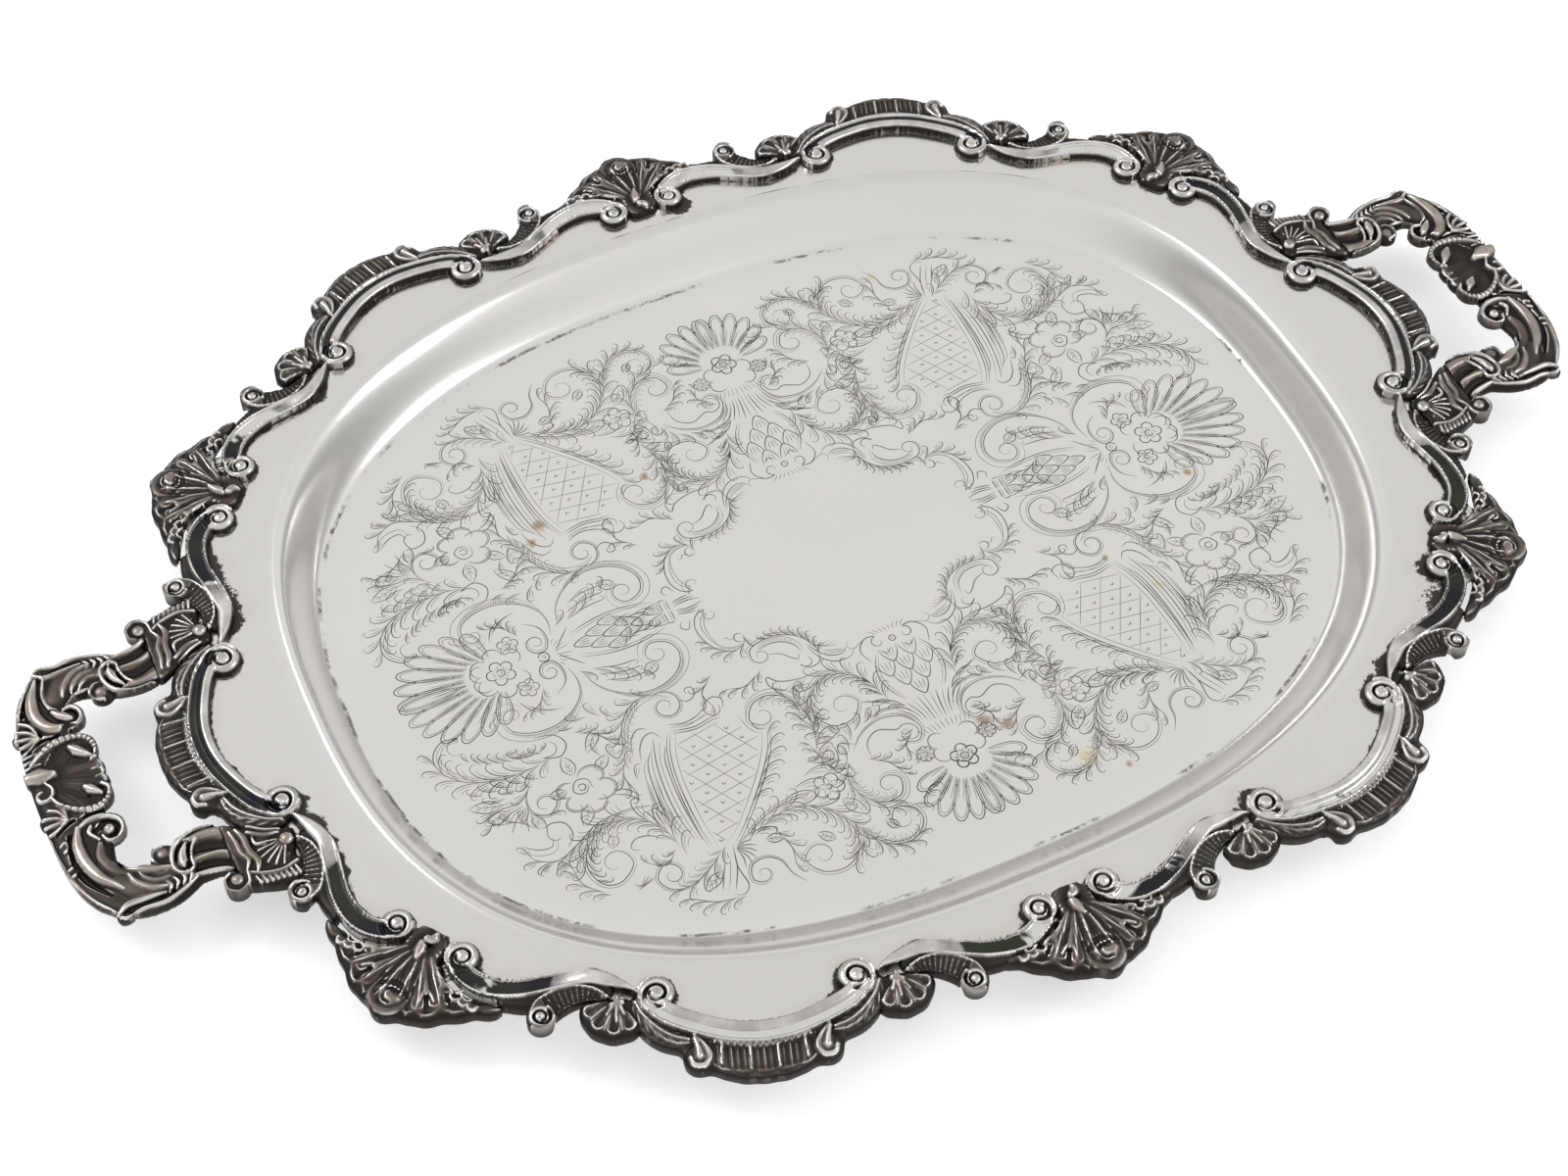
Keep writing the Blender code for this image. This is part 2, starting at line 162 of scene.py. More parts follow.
class Relief:
    """A carved casting as a height map: mm above the tray's rim over a regular grid."""

    def __init__(self, low, high, cell=CELL, edge_height=0.5):
        xs = np.arange(low[0], high[0] + cell, cell)
        ys = np.arange(low[1], high[1] + cell, cell)
        self.x, self.y = np.meshgrid(xs, ys)
        self.cell = cell
        self.edge_height = edge_height
        self.depth = np.full(self.x.shape, -50.0)
        self.z = np.full(self.x.shape, edge_height)
        self.stain = np.zeros(self.x.shape)
        self.polish = np.zeros(self.x.shape)
        self.softened = False
        # how brightly the walls that face the middle of the tray are rubbed
        self.inner_wall = 0.0

    def raise_to(self, form, where, polish):
        """Takes a form's height and polish where it stands higher than what is there."""
        higher = where & (form > self.z)
        self.z = np.where(higher, form, self.z)
        self.polish = np.where(higher, polish, self.polish)

    def add(self, depth, height, roll=1.2, polish=0.0):
        """Join a form given its depth inside its outline and its height."""
        self.depth = np.maximum(self.depth, depth)
        rounded = dome(1 - np.clip(depth / roll, 0, 1))
        form = self.edge_height + (height - self.edge_height) * rounded
        self.raise_to(form, depth > 0, polish)

    def disc(self, centre, radius, height, roll=1.2, polish=0.0):
        """A flat round boss with a rolled edge."""
        away = np.hypot(self.x - centre[0], self.y - centre[1])
        self.add(radius - away, height, roll, polish)

    def ball(self, centre, radius, foot, rise, polish=0.75):
        """A bead that stands on a foot height."""
        away = np.hypot(self.x - centre[0], self.y - centre[1]) / radius
        self.raise_to(foot + rise * dome(away), away < 1, polish)

    def around(self, points):
        """The part of the grid that a band along these (x, y, half width) points can reach."""
        path = smooth_path(points)
        reach = path[:, 2].max() + self.cell
        spans = []
        for grid, line in ((self.y[:, 0], path[:, 1]), (self.x[0], path[:, 0])):
            first, last = np.searchsorted(grid, (line.min() - reach, line.max() + reach))
            spans.append(slice(first, max(last, first + 1)))
        return tuple(spans)

    def cord(self, points, foot, rise, polish=0.35):
        """A half-round bead along a path whose points are (x, y, radius)."""
        w = self.around(points)
        _, offset, radius = along_band(points, self.x[w], self.y[w])
        away = np.abs(offset) / np.maximum(radius, 0.05)
        form = foot + rise * dome(away)
        higher = (away < 1) & (form > self.z[w])
        self.z[w] = np.where(higher, form, self.z[w])
        self.polish[w] = np.where(higher, polish, self.polish[w])

    def press(self, amount):
        """Hollows the grid out, down to a fraction of the edge's height."""
        self.z = np.maximum(self.z - amount, self.edge_height * 0.4)

    def groove(self, points, depth):
        """A cut along a path whose points are (x, y, half width)."""
        w = self.around(points)
        _, offset, half = along_band(points, self.x[w], self.y[w])
        away = np.abs(offset) / np.maximum(half, 0.05)
        cut = depth * np.clip(1 - away ** 2, 0, 1)
        self.z[w] = np.maximum(self.z[w] - cut, self.edge_height * 0.4)

    def plinth(self, limit, spread=0.6, height=2.0):
        """Plain low metal that joins the forms' outer sides; limit is its depth from the tray side."""
        ground = blurred(np.clip(self.depth, -6, 6), self.depth > -60, 2.0, self.cell) + spread
        ground = np.minimum(ground, limit)
        self.add(ground, height, roll=1.8, polish=0.28)

    def soften(self, sigma):
        """Rounds the forms as casting and rubbing do, in mm; safe to call again."""
        if not self.softened:
            mask = self.depth > 0
            self.z = blurred(self.z, mask, sigma, self.cell)
            self.polish = blurred(self.polish, mask, sigma, self.cell)
            self.softened = True

    def wear_and_highlight(self):
        """Crest lines, and height over the surroundings: ridges rub bright and carry a painted highlight,
        hollows stay dark.
        """
        mask = self.depth > -self.cell
        crest = self.z - blurred(self.z, mask, 0.55, self.cell)
        body = self.z - blurred(self.z, mask, 2.6, self.cell)
        return crest, body


def flutes(across, out, pitch, depth, start, end):
    """Hollows side by side, rounded at their start, fading out at their end."""
    place = np.mod(across / pitch, 1) - 0.5
    bowl = np.sqrt(np.clip(1 - (2 * place) ** 2, 0, 1))
    opening = ramp(out - start - 0.45 * pitch * (1 - bowl), 0, 0.45)
    return depth * bowl ** 0.8 * opening * (1 - ramp(out, end - 2.0, end))


# ---------------------------------------------------------------- castings


def volute(r, centre, start, turn, size, polish=0.95):
    """Rolled end of a scroll: smooth ring, a groove winding in from the channel, and a button."""
    def at(bearing, radius, half):
        angle = math.radians(bearing)
        return (centre[0] + radius * math.cos(angle), centre[1] + radius * math.sin(angle), half)

    r.disc(centre, size, 4.1, roll=0.42 * size, polish=polish)
    groove = []
    for swept in range(0, 480, 26):
        share = min(1.0, swept / 150)
        groove.append(at(start + turn * swept, size * (0.76 - 0.24 * share - 0.0003 * swept),
                         size * (0.23 - 0.13 * share)))
    r.groove(groove, 2.3)
    bead = [at(start + turn * swept, size * 0.93, 0.6) for swept in range(-20, 170, 26)]
    r.cord(bead, 2.7, 1.5, polish)
    r.ball(centre, 0.27 * size, 2.6, 2.0, 0.9 * polish)


C_PATH = [(-40.3, 3), (-34.5, 8.8), (-25, 13.8), (-12, 18.4), (0, 19.8), (12, 18.4), (25, 13.8),
          (34.5, 8.8), (40.3, 3)]
C_VOLUTE = 37.9
C_HALF = 4.6
PANEL_REACH = 24.0
CURL = (24, 27.4)
C_LEAF = [(27.5, 20.5, 1.6), (33, 18.6, 3.2), (38.5, 14.6, 3.8), (43.6, 8.6, 3), (46.2, 3, 1.4)]


def c_scroll_relief():
    """Fluted panel outside a C-shaped band with a volute at each end, leaves and comma curls."""
    r = Relief((-54, -12), (54, 43))
    x, y = r.x, r.y
    _, out, _ = along_band([(px, py, C_HALF) for px, py in C_PATH], x, y)
    side = np.abs(x)
    # fluted panel outside the band, with a plain rounded wall round it
    arch = 37.2 - 9.4 * np.clip(side / PANEL_REACH, 0, 1.2) ** 2.6
    lobes = 0.9 * np.abs(np.cos(np.pi * x / 8.0)) * (side < PANEL_REACH)
    panel = np.minimum(arch + lobes - y, np.minimum(PANEL_REACH + 1.5 - side, out + C_HALF - 1))
    crown = 2.9 + 0.7 * np.sin(np.clip((y - 22) / 15, 0, 1) * np.pi)
    r.add(panel, crown, roll=3.4)
    reach = out - C_HALF
    ribbing = flutes(x, reach, 2.45, 1.0, 0.9, 11.6) * (side < PANEL_REACH - 3)
    r.press(np.where(panel > 1.6, ribbing, 0))
    for place in (-16.2, -5.4, 5.4, 16.2):
        top = 34.6 - 8 * abs(place / PANEL_REACH) ** 2.6
        low = 26.3 - 7.0 * (abs(place) / PANEL_REACH) ** 1.6
        r.cord([(place * 0.96, low, 0.5), (place, top, 0.4)], 2.7, 0.9, 0.5)
    # small arcs that close the flutes by the band
    for k in range(-7, 8):
        ax = 2.45 * k
        low = 24.6 - 5.6 * (abs(ax) / PANEL_REACH) ** 1.6
        r.cord([(ax - 1.05, low + 1.5, 0.26), (ax, low + 0.1, 0.32), (ax + 1.05, low + 1.5, 0.26)],
               2.9, 0.75, 0.7)
    # band: broad roll on the tray side, hollow, thin bead outside
    q = out / C_HALF
    roll = 2.6 + 2.2 * dome((q + 0.46) / 0.60)
    hollow = 2.7 + 0.5 * q
    bead = 3.0 + 1.6 * dome((q - 0.86) / 0.15)
    section = np.maximum(np.maximum(roll, hollow), bead)
    r.add(C_HALF - np.abs(out), section, roll=0.7, polish=1.0)
    r.stain = np.clip((q + 0.75) / 0.9, 0, 1) * (1 - ramp(q, 0.62, 0.72)) * (np.abs(out) < C_HALF)
    for s in (-1, 1):
        centre = (s * C_VOLUTE, 0.0)
        volute(r, centre, 90 + s * 5, -s, 7.6)
        # leaf beside the volute
        leaf = [(s * px, py, half) for px, py, half in C_LEAF]
        share_l, off_l, half_l = along_band(leaf, x, y)
        r.add(half_l + 1.0 - np.abs(off_l), 2.3 + 0.9 * dome(off_l / 4.2), roll=2.4)
        veins = 0.5 * np.sin(share_l * 21 + np.abs(off_l) * 1.3) ** 2 * ramp(np.abs(off_l), 0.3, 1.2)
        r.press(np.where(half_l - np.abs(off_l) > -0.2, veins, 0))
        r.cord([(px, py, 0.38) for px, py, _ in leaf], 2.9, 0.9, 0.6)
        r.cord([(px - s * 0.4, py + w * 0.8, 0.3) for px, py, w in leaf[:4]], 2.4, 0.8, 0.6)
        # comma curl that closes the panel
        r.disc((s * CURL[0], CURL[1]), 5.8, 3.0, roll=2.8)
        hook = [(1.6, -8.5, 0.6), (-2.4, -3.6, 1), (-3.8, 0.6, 1.3), (-1.6, 3.9, 1.2), (2, 3.6, 1.1),
                (3.4, 0.6, 0.9)]
        drop = [(1.6, -7.2, 0.7), (0.4, -3.2, 1.2), (-0.1, 0.4, 1.7)]
        for points, foot, rise, polish in ((hook, 2.8, 1.3, 0.3), (drop, 3.2, 1.6, 0.65)):
            r.cord([(s * CURL[0] + s * px, CURL[1] + py, half) for px, py, half in points],
                   foot, rise, polish)
    r.plinth(out + C_HALF - 1.5)
    return r


S_PATH = [(68.4, 0.9, 0.3), (64, -0.4, 1.6), (57, -1.6, 3), (49, -1.8, 3.5), (42, 0.5, 3.5), (34, 4.4, 3.7),
          (25, 8.4, 3.9), (15, 10.2, 4.2), (7, 9, 4.3), (0.5, 5, 4.1), (-1, 2, 3.6)]
ARCH_LENGTH = 30.0


def s_scroll_relief():
    """S-shaped band from a volute to a point, over a fluted arch that ends in a small volute."""
    r = Relief((-9, -10), (71, 28))
    x, y = r.x, r.y
    # plain wall that carries the band between the arch and the shell
    wall = [(57, 2.2, 2.2), (47, 3.4, 3.4), (38, 7.4, 4.4), (28, 12, 4.2), (20, 14.4, 2.6)]
    _, out, half = along_band(wall, x, y)
    r.add(half - np.abs(out), 1.9 + 0.5 * dome(out / 5), roll=2.4)
    # fluted arch with its ball
    arch = [(57, 5.2, 2), (51, 4.8, 3.2), (45, 6.6, 4.2), (39.4, 10.6, 5), (36, 15.2, 5.2),
            (35.6, 19.2, 4.6)]
    share, out, half = along_band(arch, x, y)
    out = -out
    r.add(half - np.abs(out), 2.4 + 1.2 * (1 - ramp(out / half, -0.8, 1.0)), roll=2.0)
    fluting = flutes(share * ARCH_LENGTH, out + half, 2.2, 0.95, 1.3, 10.5)
    r.press(fluting * (share > 0.05) * (share < 0.80) * (np.abs(out) < half - 0.8))
    edge = [(56, 3.9, 0.3), (51, 2.6, 0.32), (44, 3.6, 0.36), (37.4, 7.2, 0.4), (32.6, 12.2, 0.4),
            (31.2, 17.6, 0.4)]
    r.cord(edge, 3.1, 0.8, 0.7)
    volute(r, (35.6, 18.6), -50, 1, 5.4, 0.35)
    # band: convex blade by the C scroll, hollow channel by the shell
    _, out, half = along_band(S_PATH, x, y)
    q = out / np.maximum(half, 0.3)
    blade = 2.6 + 1.9 * dome(q)
    channel = 1.9 + 1.3 * np.abs(q) ** 2
    beads = 2.5 + 2.0 * np.maximum(dome((q - 0.86) / 0.15), dome((q + 0.84) / 0.17))
    mix = ramp(x, 36, 52)
    section = np.maximum(channel, beads) * (1 - mix) + blade * mix
    r.add(half - np.abs(out), section, roll=0.6, polish=1.0)
    r.stain = (1 - ramp(x, 30, 50)) * (np.abs(q) < 0.68) * ramp(np.hypot(x, y), 3.4, 5.5)
    volute(r, (0, 0), 70, 1, 6.8)
    r.plinth(np.minimum(out + half - 1.2, y - 3))
    return r


SHELL_EDGE = [(4.6, -5), (7.6, -2), (8.6, 2), (9, 6), (12.5, 11), (19, 14.2), (30, 14.6), (39.5, 12),
              (38.5, 16), (34.8, 18.8), (31.2, 19.2), (30.2, 22.2), (25.6, 25.4), (22.4, 25.6),
              (20.2, 28.6), (15.8, 31.6), (13, 31.4), (10.4, 33.6), (6.6, 33.2), (4.4, 36), (0, 37.4)]
SHELL_RIDGES = (-76, -62, -43, -25, -9, 9, 25, 43, 62, 76)


def polar(hinge, bearing, radius):
    """Point at a bearing in degrees from the hinge, measured from +Y towards +X."""
    return (hinge[0] + radius * math.sin(math.radians(bearing)),
            hinge[1] + radius * math.cos(math.radians(bearing)))


def lobe_loop(r, hinge, bearing, half_angle, reach, start, width, foot, rise):
    """Bright looped outline of one lobe of a shell."""
    points = []
    for turn, share in ((-0.55, 0), (-0.85, 0.45), (-0.72, 0.86), (0, 1), (0.72, 0.86), (0.85, 0.45),
                        (0.55, 0)):
        radius = start + (reach - start) * share
        points.append(polar(hinge, bearing + half_angle * turn, radius) + (width,))
    r.cord(points, foot, rise, 0.7)


def shell_relief():
    """Shell with combed flutes and looped lobes, a rolled tongue at its tip and side leaflets."""
    r = Relief((-42, -8), (42, 40))
    x, y = r.x, r.y
    outline = SHELL_EDGE + [(-px, py) for px, py in reversed(SHELL_EDGE[:-1])]
    # the wings are drawn in to meet the S scrolls
    drawn_in = 1.5 * ramp(np.abs(x), 20, 28)
    depth = inside_polygon(smooth_path(outline + outline[:1], 3)[:-1], x, y + drawn_in)
    depth -= 1.6 * ramp(y, 8, 24)
    hinge = (0, 1)
    far = np.hypot(x - hinge[0], y - hinge[1])
    lean = np.degrees(np.arctan2(x - hinge[0], y - hinge[1]))
    swell = 2.6 + 1.8 * np.sin(np.clip(far / 36, 0, 1) * np.pi) ** 0.8
    r.add(depth, swell, roll=3.4)

    def stem(side, points):
        """Cord points from (bearing, distance from the hinge, half width)."""
        return [polar(hinge, side * turn, away) + (width,) for turn, away, width in points]

    # broad flutes, combed with fine lines, between low ridges
    ridge_gap = np.full(x.shape, 1e9)
    flute = np.zeros(x.shape)
    for a, b in zip(SHELL_RIDGES, SHELL_RIDGES[1:]):
        place = np.clip((lean - a) / (b - a), 0, 1)
        flute = np.where((lean >= a) & (lean < b), np.sin(np.pi * place) ** 0.8, flute)
    for a in SHELL_RIDGES:
        ridge_gap = np.minimum(ridge_gap, np.abs(np.radians(lean - a)) * far)
    r.press(1.25 * flute * ramp(far, 6, 20) * ramp(depth, 1.4, 3.2))
    low_ridge = 0.5 * dome(ridge_gap / 0.8) * ramp(far, 4, 9) * (1 - ramp(far, 15, 22))
    r.z += np.where(depth > 1.6, low_ridge, 0)
    fibre = np.abs(np.sin(np.radians(lean) * 42 + 1.5 * np.sin(far / 5))) ** 3
    r.z += np.where(depth > 1.8, 0.5 * fibre * ramp(far, 6, 9) * (1 - ramp(far, 24, 31)), 0)
    for s in (-1, 1):
        # finger lobes towards the wing, then two broad lobes joined by a forked ridge
        for bearing, half_angle, start, reach in ((73, 4, 28, 33.6), (65, 4.2, 25, 30.6),
                                                  (57, 4.2, 23, 28.8), (49.5, 4, 22, 28.2),
                                                  (39, 5.4, 21, 28), (25, 5.8, 21, 28.8)):
            lobe_loop(r, hinge, s * bearing, half_angle, reach, start, 0.45, 2.5, 1.0)
        # long stems that swell into drops where the lobes part
        for bearing, reach in ((32, 22.5), (50, 21)):
            r.cord(stem(s, [(bearing - 3, 8, 0.5), (bearing - 1, 15, 0.9), (bearing, reach - 2, 1.5),
                            (bearing, reach, 1)]), 2.9, 1.4, 0.45)
            r.cord(stem(s, [(bearing - 6, reach + 3.6, 0.5), (bearing - 4, reach + 0.4, 0.7),
                            (bearing, reach - 1.6, 0.7), (bearing + 4, reach + 0.4, 0.7),
                            (bearing + 6, reach + 3.6, 0.5)]), 3.1, 1.2, 0.6)
        r.cord(stem(s, [(76, 10, 0.5), (70, 18, 1.2), (70, 27, 0.5)]), 2.4, 1.2, 0.25)
        r.groove(stem(s, [(32, 24, 1), (32, 30, 0.8)]), 1.4)
        r.groove(stem(s, [(50, 23, 0.8), (50, 29, 0.7)]), 1.2)
    # tongue rolled over at the tip, inside a plain thick lip
    r.groove([(-5.6, 24, 1.2), (0, 21.6, 1.6), (5.6, 24, 1.2)], 0.9)
    r.cord([(-7.4, 25, 1), (-7.2, 29.6, 1.8), (-3.6, 33, 2.2), (1.6, 33.2, 2.2), (5.8, 30.2, 1.8),
            (7.2, 25.6, 1)], 1.6, 1.9, 0.2)
    r.cord([(-3.4, 26.4, 2), (0.4, 28.4, 3.6), (3.4, 27.6, 2.2)], 2.2, 2.5, 0.35)
    r.groove([(3, 24.4, 0.5), (-0.6, 24.2, 0.7), (-2.6, 26.6, 0.8), (-1.4, 29.6, 0.8), (1.6, 30.2, 0.6)],
             1.3)
    # sheaf that rises from the hinge, and the bright drops there
    for px in (-4.2, -1.6, 1.6, 4.2):
        r.cord([(px * 0.5, 5.0, 0.5), (px * 1.0, 11.0, 0.9), (px * 1.5, 19.6, 0.5)], 2.9, 1.3, 0.35)
    r.cord([(-0.8, -0.4, 1), (-1, 3, 2.4), (-0.4, 6.4, 2.6), (0.4, 9.6, 1)], 2.5, 2.7, 0.95)
    r.cord([(1.8, -3.2, 0.9), (1.6, -0.8, 2.4), (-0.4, 1.2, 1.6)], 2.4, 2.6, 0.95)
    r.groove([(-2.8, 1, 0.4), (0.4, 2.4, 0.6), (3.2, 2, 0.4)], 1.2)
    # row of leaflets where the shell meets each S scroll
    for s in (-1, 1):
        row = smooth_path([(9.4, 7.6), (13.4, 12), (20, 15), (27, 16), (33, 14.8)], 12)
        for k in range(1, 7):
            at = k * (len(row) - 1) // 7
            bx, by = row[at]
            step = row[at + 2] - row[at - 2]
            tx, ty = step / np.hypot(*step)
            r.cord([(s * (bx - 1.9 * tx), by - 1.9 * ty, 0.5), (s * (bx - 1.2 * tx - 1.5 * ty),
                                                                by - 1.2 * ty + 1.5 * tx, 0.7),
                    (s * (bx + 0.9 * tx - 1.6 * ty), by + 0.9 * ty + 1.6 * tx, 0.7),
                    (s * (bx + 1.9 * tx), by + 1.9 * ty, 0.5)], 2.5, 1.3, 0.6)
    r.plinth(y - 7, 0.9)
    return r


def fan_fields(r, hinge, lobes, start, end):
    """A fan between two bearings: distance from its hinge, place in lobes, each lobe's swell from
    0 to 1, distance to the nearest ridge between lobes, and depth inside the straight sides."""
    dx, dy = r.x - hinge[0], r.y - hinge[1]
    far = np.hypot(dx, dy)
    bearing = np.degrees(np.arctan2(dy, dx))
    place = (bearing - start) / (end - start) * lobes
    swell = np.abs(np.sin(np.pi * np.clip(place, 0, lobes)))
    ridge = np.abs(place - np.round(place)) / lobes * np.radians(end - start) * far
    margin = np.radians(np.clip(np.minimum(bearing - start, end - bearing), -60, 60)) * far
    return far, place, swell, ridge, margin


FAN_HINGE = (52.8, 1.2)


def fan_relief():
    """Small four-lobed fan on a plain plate, with an acanthus hook at its foot."""
    r = Relief((38, -4), (76, 27))
    x, y = r.x, r.y
    lobes, start, end = 4, 6.0, 124.0
    far, place, swell, ridge, margin = fan_fields(r, FAN_HINGE, lobes, start, end)
    reach = 13.4 + 1.4 * np.sin(np.pi * np.clip(place / lobes, 0, 1)) + 1.1 * swell
    depth = np.minimum(reach - far, margin + 0.8)
    plate = [(40.5, 8, 2.4), (45, 6.6, 3.6), (51, 4, 3.6), (57, 3.4, 3)]
    _, out, half = along_band(plate, x, y)
    r.add(half - np.abs(out), 2.0 + 0.3 * dome(out / 4), roll=1.4)
    r.add(depth, 2.4 + 1.4 * np.sin(np.clip(far / 15, 0, 1) * 3), 2.2)
    comb = np.abs(np.sin(np.pi * 4 * place)) ** 2 * ramp(far, 5, 8) * (1 - ramp(far, 11, 14))
    r.z += np.where(depth > 1.2, 0.4 * comb, 0)
    inside = depth > 1.2
    r.press(np.where(inside, 0.85 * swell ** 0.8 * ramp(far, 3.5, 11), 0))
    r.z += np.where(inside, 0.45 * dome(ridge / 0.55) * ramp(far, 3, 6), 0)
    for k in range(lobes):
        middle = 90 - (start + (end - start) * (k + 0.5) / lobes)
        tip = 12.8 + 1.3 * math.sin(math.pi * (k + 0.5) / lobes)
        lobe_loop(r, FAN_HINGE, middle, 12.0, tip, 9.0, 0.42, 2.5, 0.9)
    r.cord([(FAN_HINGE[0] - 1.4, FAN_HINGE[1] + 1.6, 1.6), (FAN_HINGE[0] + 2.2, FAN_HINGE[1] + 2.4, 1.2)],
           2.8, 1.8, 0.95)
    for bearing, length in ((56, 8), (84, 9.5), (108, 7)):
        tip = polar(FAN_HINGE, 90 - bearing, length)
        r.cord([FAN_HINGE + (1.1,), tip + (0.5,)], 3.0, 1.4, 0.75)
    r.plinth(y - 2, 0.9)
    return r


# ---------------------------------------------------------------- meshes from relief


def relief_mesh(name, relief, place, under=None):
    """Closed mesh: carved top, side wall, plain underside; place() lays local mm on the tray."""
    depth, cell = relief.depth, relief.cell
    relief.soften(0.24)
    rows, columns = depth.shape
    centre = (depth[:-1, :-1] + depth[1:, :-1] + depth[:-1, 1:] + depth[1:, 1:]) / 4
    keep = centre > 0
    keep[0, :] = keep[-1, :] = False
    keep[:, 0] = keep[:, -1] = False
    gy, gx = np.gradient(depth, cell)
    steep = np.maximum(np.hypot(gx, gy), 0.25)
    rim = np.zeros((rows, columns), bool)
    for shift in ((0, 0), (0, -1), (-1, 0), (-1, -1)):
        rim[-shift[0]:rows - 1 - shift[0], -shift[1]:columns - 1 - shift[1]] |= ~keep
    # the outermost vertices slide onto the outline, so that the wall isn't stepped
    slide = np.where(rim, np.clip(depth, -1.3 * cell, 1.3 * cell) / steep, 0)
    x = relief.x - slide * gx / steep
    y = relief.y - slide * gy / steep
    corner = np.arange(rows * columns).reshape(rows, columns)
    quads = np.stack([corner[:-1, :-1], corner[:-1, 1:], corner[1:, 1:], corner[1:, :-1]], -1)
    quads = quads[keep]
    used, index = np.unique(quads, return_inverse=True)
    quads = index.reshape(-1, 4)
    count = len(used)
    top = np.stack([grid.ravel()[used] for grid in (x, y, relief.z)], -1)
    below = top.copy()
    # the outer edge hangs down a little as a lip, past the edge of the sheet
    facing_out = ramp(-gy / steep, 0.0, 0.5) * (1 - ramp(depth, 1.5, 3.5))
    if under is None:
        under = CASTING_UNDERSIDE - LIP_DROP * facing_out
    side_polish = relief.inner_wall * (1 - ramp(-gy / steep, -0.3, 0.3)) - 0.1
    below[:, 2] = under.ravel()[used]
    crest, body = relief.wear_and_highlight()
    edges = np.concatenate([quads[:, [k, (k + 1) % 4]] for k in range(4)])
    keys = edges[:, 0].astype(np.int64) * count + edges[:, 1]
    back = edges[:, 1].astype(np.int64) * count + edges[:, 0]
    border = edges[~np.isin(keys, back)]
    walls = np.stack([border[:, 0], border[:, 0] + count, border[:, 1] + count, border[:, 1]], -1)
    faces = np.concatenate([quads, quads[:, ::-1] + count, walls])
    points, flipped = place(np.concatenate([top, below]))
    if flipped:
        faces = faces[:, ::-1]
    values = {"crest": np.concatenate([crest.ravel()[used], np.full(count, -0.2)]),
              "body": np.concatenate([body.ravel()[used], np.full(count, -0.1)]),
              "polish": np.concatenate([relief.polish.ravel()[used], side_polish.ravel()[used]]),
              "stain": np.concatenate([relief.stain.ravel()[used], np.zeros(count)]), }
    return quad_mesh(name, points * MM, faces, values)


def store_fields(mesh, values):
    """Keeps one number a vertex under each name, for the materials."""
    for label, field in values.items():
        attribute = mesh.attributes.new(label, "FLOAT", "POINT")
        attribute.data.foreach_set("value", field.astype(np.float32))


def quad_mesh(name, points, faces, values):
    mesh = bpy.data.meshes.new(name)
    mesh.vertices.add(len(points))
    mesh.vertices.foreach_set("co", points.astype(np.float32).ravel())
    sides = faces.shape[1]
    mesh.loops.add(faces.size)
    mesh.loops.foreach_set("vertex_index", faces.astype(np.int32).ravel())
    mesh.polygons.add(len(faces))
    mesh.polygons.foreach_set("loop_start", np.arange(0, faces.size, sides, dtype=np.int32))
    store_fields(mesh, values)
    mesh.update()
    mesh.validate()
    mesh.shade_smooth()
    mesh.set_sharp_from_angle(angle=math.radians(62))
    return mesh


def plan_place(origin, direction, mirror_x, mirror_y, base):
    """Lays local mm on the tray: origin and +X direction in plan, then mirrors."""
    direction = np.array(direction, float) / np.hypot(*direction)
    away = np.array((-direction[1], direction[0]))
    sign = 1.0 if away @ origin > 0 or (away @ origin == 0 and away[1] > 0) else -1.0
    away = away * sign

    def place(points):
        plan = origin + points[:, :1] * direction + points[:, 1:2] * away
        plan = plan * (mirror_x, mirror_y)
        height = points[:, 2:] + base
        return np.hstack([plan, height]), sign * mirror_x * mirror_y < 0
    return place


def add_piece(name, mesh, material, nodes):
    """Puts a mesh in the scene, on the one body, in place of the CAD nodes it stands for."""
    piece = bpy.data.objects.new(name, mesh)
    bpy.context.scene.collection.objects.link(piece)
    mesh.materials.append(material)
    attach(piece, "root")
    if nodes:
        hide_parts(*nodes)
    return piece


# ---------------------------------------------------------------- handles and their roots

ROOT_EDGE = [(264, 49.6), (270, 47.9), (279, 43.6), (288.8, 38.6), (289.2, 50), (288.8, 62.5), (286.8, 69),
             (281, 71.6), (274.5, 73.8), (268.6, 74.6), (265.2, 72), (263.8, 67.5), (265.2, 62),
             (263.4, 57), (262.4, 52.6)]
ROOT_HINGE = (266.4, 55.8)


